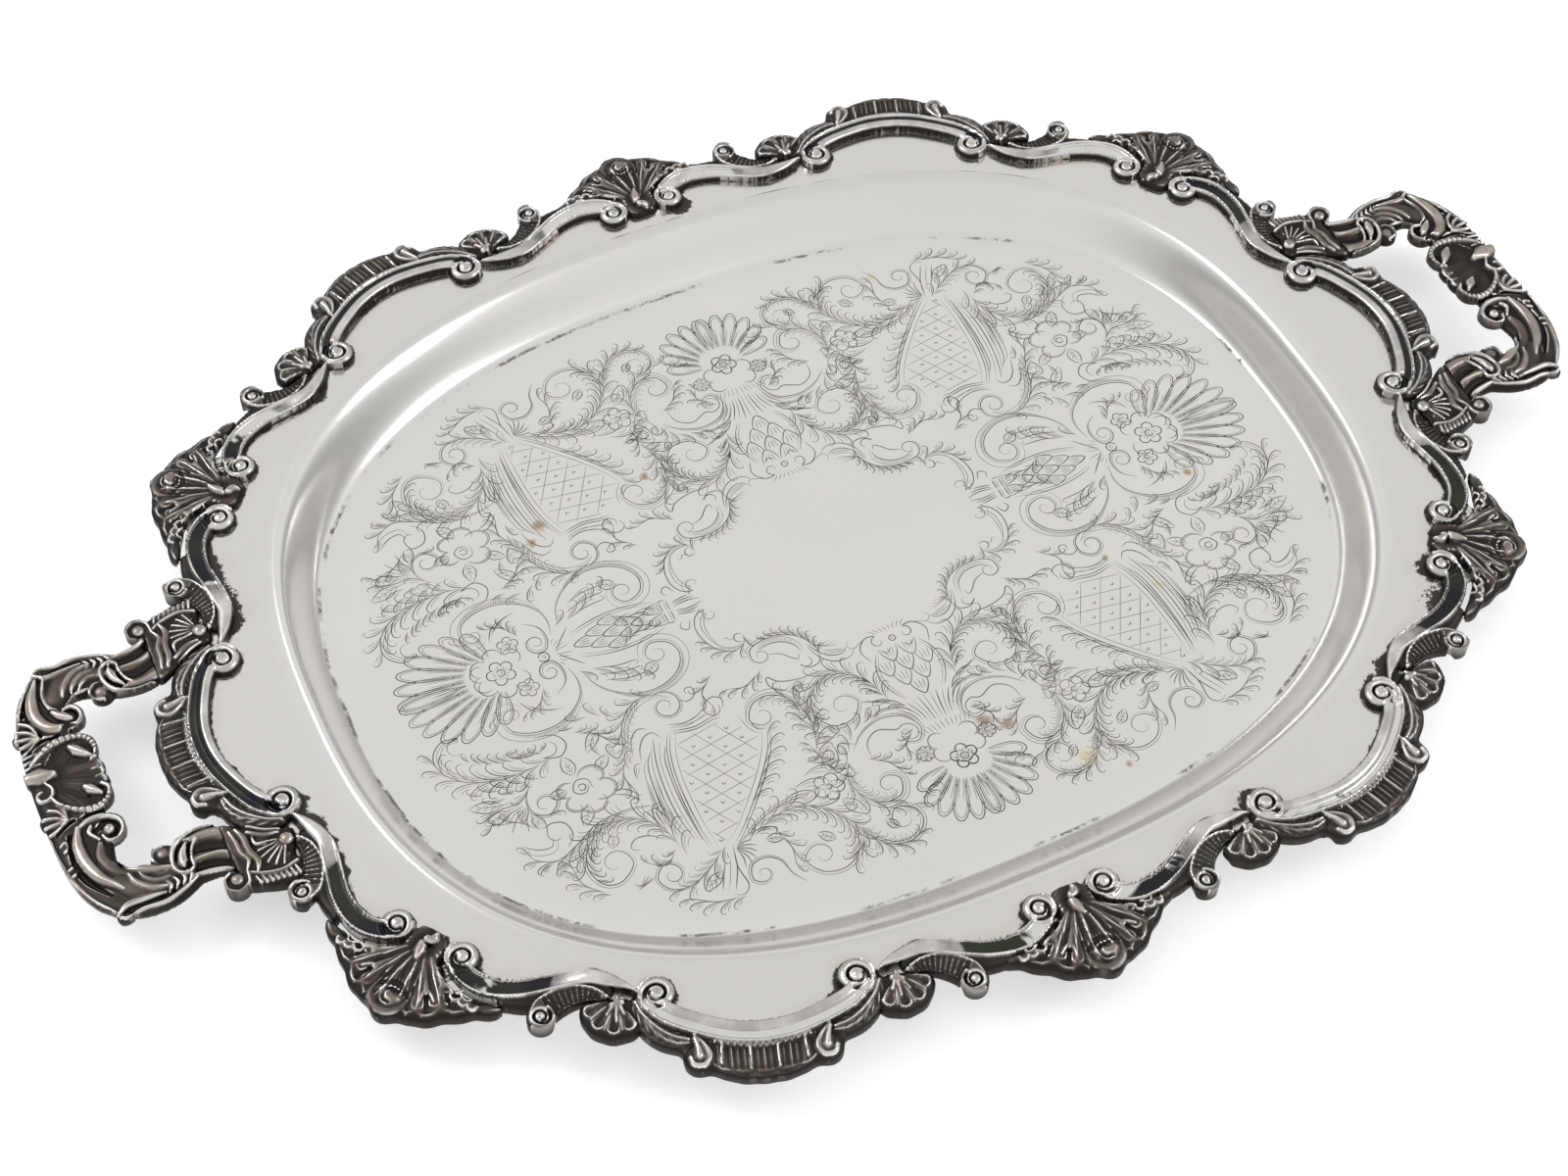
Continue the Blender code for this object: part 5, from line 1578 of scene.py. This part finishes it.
def outer_scrolls(e):
    """Acanthus scrolls round the rim of the pattern."""
    arch = e.scroll([(124.6, 112), (127.6, 100), (135.6, 91), (147, 88.6), (157.6, 94), (162.4, 104),
                     (159.6, 113.4), (152.6, 115.6), (145.4, 110.6)], (151.6, 106.4),
                    1, 330, 0.3, inner=-1.3)
    e.acanthus(arch, (145, 106), 9.9, 0.0, 0.52)
    e.acanthus(arch, (147, 106), 7.0, 0.06, 0.60, False)
    e.line([(128.6, 105), (134, 100.4), (140, 99.6), (143, 103), (139.6, 105.6)])
    low = e.scroll([(110, 119), (118, 124.6), (127.6, 128.8), (135.6, 127.4), (139, 121), (135, 115.8)],
                   (133, 121.2), -1, 420, 0.2, inner=1.1)
    e.acanthus(low, (128, 117), 7.3, 0.0, 0.40)
    e.acanthus(low, (128, 117), 5.5, 0.02, 0.34, False, FINE)
    e.rays(4, [(139, 119), (143.6, 120.6), (148.4, 122)], [(1.2, -0.8), (1, 0), (0, -1.4)], (LINE, FINE))
    e.scroll([(85, 147), (89, 140.6), (90.6, 133.6), (95.6, 129.6), (102, 130.6), (104.4, 136)],
             (99.6, 136), 1, 420, 0.2, inner=-1.1)
    e.rays(4, [(106, 122.6), (108.4, 130), (113, 138.6)], [(2.6, 0.8), (3, 0), (2.4, -1)], (LINE, FINE))
    e.line([(105, 118), (107.6, 128.6), (107, 138), (110.6, 141.4), (115, 139.4)])
    for k in range(6):
        angle = math.radians(150 + 22 * k)
        e.line([(104.6, 120.6), (104.6 + 4.6 * math.cos(angle), 121.6 - 4.6 * math.sin(angle)),
                (104.6 + 8.4 * math.cos(angle + 0.2), 122.4 - 8.4 * math.sin(angle + 0.2))])
    spiral_low = e.scroll([(96, 118.6), (84, 113.6), (72.6, 113.8), (62.6, 120.6), (57.4, 131.6),
                           (59.6, 142), (68, 147.4), (77, 145.6), (81.6, 138.6)], (74.4, 138.4),
                          -1, 420, 0.15, inner=1.3)
    e.acanthus(spiral_low, (74, 131), 9.1, 0.0, 0.56)
    e.acanthus(spiral_low, (74, 131), 7.3, 0.04, 0.54, False)
    mid = e.scroll([(56.6, 128), (53, 138), (46, 146), (36.6, 147), (30, 141), (30.4, 134), (36.6, 130.6)],
                   (36.6, 137), 1, 300, 0.3, inner=-1.3)
    e.beside(mid, 1.4, start=0.05, end=0.4)
    e.acanthus(mid, (42, 136), 6.2, 0.06, 0.46)
    e.acanthus(mid, (42, 136), 4.9, 0.04, 0.46, False, FINE)
    e.rays(4, [(55.6, 138), (57.4, 143), (59.6, 149)], [(0, 1), (1.4, 0), (1.6, -1.2)], (FINE, LINE))


def side_scrolls(e):
    """Scrolls, roses and leaves between the shields and the end palmettes."""
    e.line([(130, 84), (134, 79), (139.6, 76)])
    e.line([(129, 82), (133, 76.6), (138.6, 73.6)])
    e.circle((149.6, 67.4), 1.6)
    e.scroll([(145.6, 70), (146.4, 64.6), (151, 63.6), (153.6, 67.6)], (149.6, 67.4), 1, 200, 0.6)
    for bearing, size in ((200, 6), (262, 5.6), (318, 4.6), (20, 4.4), (130, 5.6)):
        angle = math.radians(bearing)
        middle = (149.0 + 7.4 * math.cos(angle), 69.0 - 7.4 * math.sin(angle))
        e.beside(e.arc(middle, size, -angle, 120, 16, squash=0.85), 0.8)
    e.spray([(128, 72), (131, 62), (138, 55)], (142, 68), 6.8)
    e.spray([(176, 58), (186, 62), (190, 70)], (176, 72), 6.8)
    e.spray([(166, 56), (178, 55), (190, 54)], (178, 70), 6.8)
    e.spray([(156, 96), (166, 98), (176, 96)], (166, 80), 6.8)
    e.leaf((156, 67), (164, 66.4), 4.6, 2)
    e.leaf((150.6, 61), (151.6, 50), 5.4, 2)
    e.leaf((141.6, 62.6), (133.6, 57), 4.6, 2)
    e.leaf((150, 76.6), (156, 85.6), 5.0, 3)
    curl = e.scroll([(168.6, 57), (172.6, 63.6), (172, 71), (166.4, 74), (161.6, 70)], (166.6, 68.8),
                    1, 330, 0.3, inner=-1.1)
    e.acanthus(curl, (166.6, 66), 6.5, 0.0, 0.50)
    for k in range(9):
        angle = math.radians(-8 + 11 * k)
        reach = 16 + 2.5 * (k % 2)
        e.line([(172.0 + 3 * math.cos(angle), 64.0 + 4 * math.sin(angle)),
                (172.0 + 0.6 * reach * math.cos(angle), 63.0 + 0.55 * reach * math.sin(angle)),
                (173.0 + reach * math.cos(angle + 0.12), 62.0 + 0.95 * reach * math.sin(angle + 0.12))],
               LINE if k % 2 else FINE)
    leafy = e.scroll([(157, 49), (168, 50.6), (180, 49.6), (191, 45.6), (198.6, 38), (200.2, 29),
                      (194.6, 22.6), (187, 23.6)], (189.6, 28.6), 1, 250, 0.35, inner=-1.4)
    e.beside(leafy, -3.0, start=0.12, end=0.60)
    e.acanthus(leafy, (184, 30), 8.6, 0.02, 0.62)
    e.acanthus(leafy, (184, 26), 9.6, 0.04, 0.56, False)
    e.spray([(160, 45), (171, 43.6), (181, 40.6), (188, 36)], (184, 60), 5.6)
    e.scroll([(159, 36.6), (150.6, 38.6), (147.4, 44.6), (151.6, 49.6), (158.6, 47.6)], (155, 43.2),
             1, 200, 0.4)
    e.leaf((132.6, 42.6), (141.6, 53), 4.6, 3)
    tail = e.scroll([(126, 88), (136, 85.4), (150, 86), (162, 92), (172, 95.6), (180.6, 91)], (172, 86),
                    -1, 60, 0.8, inner=1.2)
    e.acanthus(tail, (160, 78), 7.0, 0.25, 0.95)
    e.scroll([(166, 92), (161.6, 86.6), (163, 80), (169, 78.4), (171, 82.4)], (167.6, 84), 1, 170, 0.6)
    e.line([(169.4, 84), (171.6, 88.6), (177.4, 87.6), (183, 83)])
    e.line([(167.4, 84.6), (170.6, 91), (178, 90.4), (185.6, 84.6)], FINE)


def inner_scrolls(e):
    """Scrolls between the middle bud and the shields, with the small flowers."""
    leafy = e.scroll([(17, 79), (20, 69.6), (27.6, 61.6), (37, 60), (45, 66.6), (47.6, 76), (42.6, 84),
                      (33.6, 84), (28.2, 77.6)], (34.8, 76.6), 1, 340, 0.25, inner=-1.3)
    e.beside(leafy, -2.8, start=0.10, end=0.45)
    e.acanthus(leafy, (34.8, 73), 8.3, 0.0, 0.52)
    e.acanthus(leafy, (34.8, 74), 6.2, 0.02, 0.52, False)
    banner = smooth_path([(28, 59), (36, 56.4), (46, 56), (54, 53.6), (57.6, 49.6), (58.6, 54),
                          (54.6, 58.6), (47.6, 57)])
    e.cut(banner)
    e.rays(4, [(42, 56.4), (46, 59.6), (50.6, 62.4)], [(1.5, 0), (1.6, 0), (0.6, -0.6)], (FINE,))
    e.scroll([(41, 98.4), (33.6, 92), (24, 89), (14.6, 91.6), (10, 99), (12.6, 104.6)], (15.6, 100.6),
             -1, 260, 0.5, inner=1.2)
    e.scroll([(35.6, 105.6), (34, 97.6), (27.6, 93.6), (20, 96.6)], (15.6, 100.6), -1, 330, 0.35)
    e.scroll([(7.6, 94.6), (12, 88), (20, 85.2), (25.6, 86.4)], (24.6, 83.6), -1, 250, 0.4, inner=1.0)
    e.spray([(46, 88), (52, 80), (52, 70), (46, 62)], (38, 75), 6.5)
    e.spray([(12, 86), (18, 78), (19, 70)], (8, 72), 6.5)
    e.spray([(44, 100), (36, 90), (24, 87)], (30, 102), 6.5)
    e.spray([(38, 130), (28, 132), (20, 127)], (30, 120), 6.5)
    e.rays(5, [(10.6, 88), (14.6, 83), (19.6, 81.4)], [(2.4, -1.6), (2.4, -1), (2, -0.8)], (LINE, FINE))
    fan = e.scroll([(45.6, 103), (49, 111), (47, 120), (40.6, 126.4), (32.6, 126), (29.2, 119.6)],
                   (35, 119.6), 1, 340, 0.25, inner=-1.3)
    e.beside(fan, -2.8, start=0.05, end=0.6)
    e.acanthus(fan, (36, 114), 7.5, 0.0, 0.50)
    e.acanthus(fan, (36, 114), 6.0, 0.02, 0.50, False, FINE)
    e.flower((57.8, 110), 5, 2.9, 1.3, 0.3)
    e.leaf((54.6, 104), (47.6, 91.6), 6.4, 2)
    e.leaf((55.6, 117.6), (48.6, 128.6), 5.4, 2)
    e.line([(40, 86), (47.6, 89.6), (53.6, 89.4), (52.6, 92.6)])
    e.leaf((44.6, 82.6), (42, 88.6), 3.0, 1)
    e.line([(38.6, 96), (45, 93), (46.6, 97.6), (42.6, 98.6)])


def fillers(e):
    """Small sprays that close the gaps between the larger motifs."""
    for path, middle, length in (([(60, 96), (54, 100), (50, 108)], (64, 108), 6.0),
                                 ([(86, 122), (84, 130), (86, 138)], (96, 130), 6.4),
                                 ([(112, 142), (122, 140), (131, 134)], (120, 128), 6.4),
                                 ([(128, 112), (133, 116), (140, 112)], (134, 122), 5.2),
                                 ([(160, 118), (167, 110), (168, 100)], (156, 106), 6.4),
                                 ([(174, 78), (180, 72), (188, 70)], (184, 84), 5.6),
                                 ([(172, 40), (166, 44), (158, 44)], (168, 54), 5.2),
                                 ([(128, 62), (132, 70), (130, 80)], (120, 72), 6.0),
                                 ([(141, 42), (134, 46), (129, 54)], (142, 56), 5.6),
                                 ([(80, 40), (86, 46), (84, 54)], (76, 50), 5.6),
                                 ([(60, 46), (68, 50), (76, 48)], (68, 40), 5.4),
                                 ([(36, 106), (30, 110), (26, 118)], (40, 118), 5.2),
                                 ([(14, 100), (20, 106), (18, 112)], (10, 108), 4.6),
                                 ([(48, 100), (54, 96), (56, 88)], (44, 90), 5.0),
                                 ([(104, 8), (98, 4.6), (90, 6)], (98, 14), 5.0),
                                 ([(146, 16), (150, 22), (157, 24)], (150, 14), 4.6)):
        e.cut(smooth_path(path))
        e.spray(path, middle, length)
    for base, tip, width in (((182, 62), (196, 58), 5.4), ((180, 66), (193, 68), 5.0),
                             ((150, 100), (146, 92.6), 4.2), ((92, 122), (84, 124), 4.0),
                             ((66, 134), (72, 128), 4.0), ((40, 140), (44, 134), 3.6),
                             ((114, 128), (124, 134), 4.6), ((96, 22), (104, 27), 5.0)):
        e.leaf(base, tip, width, 3)


def engraving_strokes():
    """The strokes of each engraved piece, by its name."""
    groups = {}
    for name, draw in (("cartouche", (cartouche, axis_ornaments)), ("shields", (shields, columns)),
                       ("palmettes", (hatched_scrolls, end_palmettes)), ("outer_scrolls", (outer_scrolls,)),
                       ("inner_scrolls", (side_scrolls, inner_scrolls)), ("fillers", (fillers,))):
        e = Engraver()
        for part in draw:
            part(e)
        groups[name] = e.strokes
    return groups


def engraved_mesh(name, strokes):
    """Closed burrs with a three-sided section, mirrored into the four quadrants."""
    floor, crest, sunk = SHEET_MM, 0.055, 0.02
    points, faces, count = [], [], 0
    for path, width in strokes:
        normal = unit_normals(path)
        left, right = path + normal * width[:, None], path - normal * width[:, None]
        rise = floor + crest * np.minimum(width / LINE, 1.0)
        low = np.full(len(path), floor - sunk)
        rings = np.stack([np.column_stack([left, low]), np.column_stack([path, rise]),
                          np.column_stack([right, low])], 1)
        n = len(path)
        index = np.arange(3 * n).reshape(n, 3)
        quads = np.concatenate([np.stack([index[:-1, a], index[:-1, b], index[1:, b], index[1:, a]],
                                         -1) for a, b in ((0, 1), (1, 2), (2, 0))])
        for mx in (-1, 1):
            for my in (-1, 1):
                flat = rings.reshape(-1, 3) * (mx, my, 1) + (*PATTERN_CENTRE, 0)
                points.append(flat)
                turned = quads if mx * my > 0 else quads[:, ::-1]
                ends = [index[0], index[-1][::-1]]
                ends = ends if mx * my < 0 else [end[::-1] for end in ends]
                faces += (turned + count).tolist() + [(end + count).tolist() for end in ends]
                count += 3 * n
    mesh = bpy.data.meshes.new(name)
    mesh.from_pydata((np.concatenate(points) * MM).tolist(), [], faces)
    mesh.update()
    return mesh


def engraving_material():
    """Grey metal in the shade of a cut."""
    n = Nodes("engraved_line_shadow")
    tone = n.mix(n.ramp(n.noise(60, 3), -0.3, 0.4), (0.10, 0.095, 0.088), (0.26, 0.245, 0.23))
    n.bump(n.noise(900, 2), 0.00002, 0.4)
    return n.finish(tone, 0.42, 0.9)


def build_engraving():
    paint = engraving_material()
    for name, strokes in engraving_strokes().items():
        mesh = engraved_mesh(f"engraving_{name}", strokes)
        add_piece(f"engraving_{name}", mesh, paint, [])


# ---------------------------------------------------------------- assembly


def quadrants():
    """Names and mirror signs of the tray's four quarters."""
    for side_x, mx in (("left", -1), ("right", 1)):
        for side_y, my in (("front", -1), ("back", 1)):
            yield side_x, mx, side_y, my


# How far tarnish has crept over each channel: -1 clean, 1 fully dark
C_TARNISH = {"front_left": -0.9, "front_right": -0.1, "back_left": 0.35, "back_right": 0.4, "end_left": 0.9,
             "end_right": 0.3}
S_TARNISH = {"mid_front": 0.05, "mid_back": -0.30, "side_front": 0.25, "side_back": -0.25,
             "end_front": 0.55, "end_back": 0.12}


def build_border():
    """Lays every casting of the border; returns (relief, origin, direction) of each kind."""
    base = RIM_TOP
    c_relief, s_relief = c_scroll_relief(), s_scroll_relief()
    c_relief.inner_wall = s_relief.inner_wall = 0.8
    shell, fan, root = shell_relief(), fan_relief(), root_relief()
    side_c = (SIDE_OUTER + SIDE_INNER) / 2
    corner = (CORNER_END + CORNER_SIDE) / 2
    end_middle = np.array((END_C[0], 0.0))
    s_runs = {"end": (CORNER_END, END_C), "side": (CORNER_SIDE, SIDE_OUTER), "mid": (MID_S, SIDE_INNER)}
    shell_paint = casting_material("oxidised_shell_silver", -0.5, polished=(0.58, 0.535, 0.49))
    bright = {"polished": (0.84, 0.815, 0.785), "rub": 0.40}
    scroll_paint = {name: casting_material(f"tarnished_c_{name}", value, **bright) for name,
                    value in C_TARNISH.items()}
    s_paint = {name: casting_material(f"tarnished_s_{name}", value, **bright) for name,
               value in S_TARNISH.items()}
    castings = [(c_relief, end_middle, (0, 1)), (c_relief, side_c, SIDE_INNER - SIDE_OUTER),
                (shell, corner, CORNER_SIDE - CORNER_END), (shell, np.array((0, MID_S[1])), (1, 0)),
                (fan, side_c, SIDE_INNER - SIDE_OUTER), (fan, side_c, SIDE_OUTER - SIDE_INNER),
                (root, TRAY_MIDDLE, (1, 0))]
    castings += [(s_relief, volute, target - volute) for volute, target in s_runs.values()]

    def lay(relief, name, origin, direction, mx, my, paint):
        place = plan_place(origin, direction, mx, my, base)
        mesh = relief_mesh(f"chased_{name}", relief, place)
        add_piece(f"chased_{name}", mesh, paint, [name])

    for side_x, mx in (("left", -1), ("right", 1)):
        lay(c_relief, f"c_scroll_end_{side_x}", end_middle, (0, 1), mx, 1, scroll_paint[f"end_{side_x}"])
    for side_y, my in (("front", -1), ("back", 1)):
        lay(shell, f"shell_mid_{side_y}", np.array((0.0, MID_S[1])), (1, 0),
            1, my, shell_paint)
    for side_x, mx, side_y, my in quadrants():
        where = f"{side_y}_{side_x}"
        lay(c_relief, f"c_scroll_{where}", side_c, SIDE_INNER - SIDE_OUTER, mx, my, scroll_paint[where])
        lay(shell, f"shell_corner_{where}", corner, CORNER_SIDE - CORNER_END, mx, my, shell_paint)
        for run, (volute, target) in s_runs.items():
            lay(s_relief, f"s_scroll_{run}_{where}", volute, target - volute, mx, my,
                s_paint[f"{run}_{side_y}"])
        lay(fan, f"fan_inner_{where}", side_c, SIDE_INNER - SIDE_OUTER, mx, my, shell_paint)
        lay(fan, f"fan_outer_{where}", side_c, SIDE_OUTER - SIDE_INNER, mx, my, shell_paint)
        lay(root, f"handle_root_{where}", TRAY_MIDDLE, (1, 0), mx, my, shell_paint)
    return castings


def build_handles():
    """Both handles from one relief, rounded underneath too."""
    relief = handle_relief()
    under = -3.4 * dome(1 - np.clip(relief.depth / 6.0, 0, 1)) - 0.2
    paint = casting_material("handle_oxidised_silver", -0.5, (0.135, 0.105, 0.080), (0.56, 0.51, 0.46))
    base = RIM_TOP + HANDLE_LIFT
    for side_x, mx in (("left", -1), ("right", 1)):
        place = plan_place(TRAY_MIDDLE, (1, 0), mx, 1, base)
        mesh = relief_mesh(f"chased_handle_{side_x}", relief, place, under=under)
        add_piece(f"chased_handle_{side_x}", mesh, paint, [f"handle_{side_x}"])


def build_tray(castings):
    mesh = tray_mesh(castings)
    add_piece("tray_sheet", mesh, sheet_material(), ["tray_body"])


# ---------------------------------------------------------------- floor, light and camera


FLOOR_SIZE = 4.0
WALL_DIRECTION = (-0.44, -0.90, 0)
WALL_TONE = (0.76, 0.76, 0.755, 1)
EYE = (-0.3246, -0.6101, 0.8842)
VIEW = (0.26757, 0.54198, -0.79666)
ROLL = 1.01


def studio_floor():
    """Pale floor a hair under the tray, lit a little by itself so that it stays plain."""
    floor_mesh = bpy.data.meshes.new("studio_floor")
    corners = [(x * FLOOR_SIZE, y * FLOOR_SIZE, 0) for x, y in ((-1, -1), (1, -1), (1, 1), (-1, 1))]
    floor_mesh.from_pydata(corners, [], [(0, 1, 2, 3)])
    floor = bpy.data.objects.new("studio_floor", floor_mesh)
    bpy.context.scene.collection.objects.link(floor)
    floor.location.z = -0.0005
    paint = Nodes("studio_white")
    paint.shader.inputs["Emission Color"].default_value = (1, 1, 1, 1)
    paint.shader.inputs["Emission Strength"].default_value = 0.40
    paint.finish((0.90, 0.90, 0.90), 0.9, 0.0)
    floor_mesh.materials.append(paint.material)


def studio_world():
    """Soft light from all round, brightest high up, with a pale wall that the tray mirrors."""
    world = bpy.data.worlds.new("studio")
    bpy.context.scene.world = world
    world.use_nodes = True
    tree = world.node_tree
    background = tree.nodes["Background"]
    coordinates = tree.nodes.new("ShaderNodeTexCoord")
    split = tree.nodes.new("ShaderNodeSeparateXYZ")
    tree.links.new(coordinates.outputs["Generated"], split.inputs[0])
    shade = tree.nodes.new("ShaderNodeValToRGB")
    # brightness by the sine of the height above the horizon, 0.5 being the horizon
    stops = [(0.50, 0.32), (0.60, 0.50), (0.74, 0.82), (1, 0.74)]
    while len(shade.color_ramp.elements) < len(stops):
        shade.color_ramp.elements.new(0.5)
    for element, (place, value) in zip(shade.color_ramp.elements, stops):
        element.position = place
        element.color = (value, value, value * 0.995, 1)
    height = tree.nodes.new("ShaderNodeMath")
    height.operation = "MULTIPLY_ADD"
    height.inputs[1].default_value = 0.5
    height.inputs[2].default_value = 0.5
    tree.links.new(split.outputs["Z"], height.inputs[0])
    tree.links.new(height.outputs[0], shade.inputs[0])
    # a pale wall behind the camera, which the far shoulder of the tray mirrors
    facing = tree.nodes.new("ShaderNodeVectorMath")
    facing.operation = "DOT_PRODUCT"
    facing.inputs[1].default_value = WALL_DIRECTION
    tree.links.new(coordinates.outputs["Generated"], facing.inputs[0])
    share = tree.nodes.new("ShaderNodeMapRange")
    share.inputs["From Min"].default_value = 0.35
    share.inputs["From Max"].default_value = 0.85
    tree.links.new(facing.outputs["Value"], share.inputs["Value"])
    wall = tree.nodes.new("ShaderNodeMix")
    wall.data_type = "RGBA"
    tree.links.new(share.outputs["Result"], wall.inputs["Factor"])
    tree.links.new(shade.outputs[0], wall.inputs["A"])
    wall.inputs["B"].default_value = WALL_TONE
    tree.links.new(wall.outputs["Result"], background.inputs["Color"])
    background.inputs["Strength"].default_value = 1.0


def studio_lamps():
    """Two soft lamps that point at the tray."""
    for name, place, size, power in (("key", (-1, 0.9, 1.5), 0.9, 9), ("fill", (1.2, -0.7, 1.3), 0.7, 5)):
        lamp = bpy.data.lights.new(name, "AREA")
        lamp.energy = power
        lamp.size = size
        holder = bpy.data.objects.new(name, lamp)
        holder.location = place
        holder.rotation_euler = (-Vector(place)).to_track_quat("-Z", "Y").to_euler()
        bpy.context.scene.collection.objects.link(holder)
    bpy.context.scene.view_settings.view_transform = "Standard"


def photo_camera():
    """Camera worked out from the border's symmetry: 53 degrees down, from the front left."""
    lens = bpy.data.cameras.new("view")
    lens.lens = 58.54
    lens.sensor_width = 36.0
    lens.clip_start = 0.05
    holder = bpy.data.objects.new("view", lens)
    bpy.context.scene.collection.objects.link(holder)
    forward = Vector(VIEW).normalized()
    level = forward.cross(Vector((0, 0, 1))).normalized()
    up = level.cross(forward)
    roll = math.radians(ROLL)
    right = math.cos(roll) * level + math.sin(roll) * up
    up = right.cross(forward)
    turn = Matrix((right, up, -forward)).transposed().to_4x4()
    holder.matrix_world = Matrix.Translation(EYE) @ turn
    bpy.context.scene.camera = holder


castings = build_border()
build_handles()
build_tray(castings)
build_engraving()
studio_floor()
studio_world()
studio_lamps()
photo_camera()
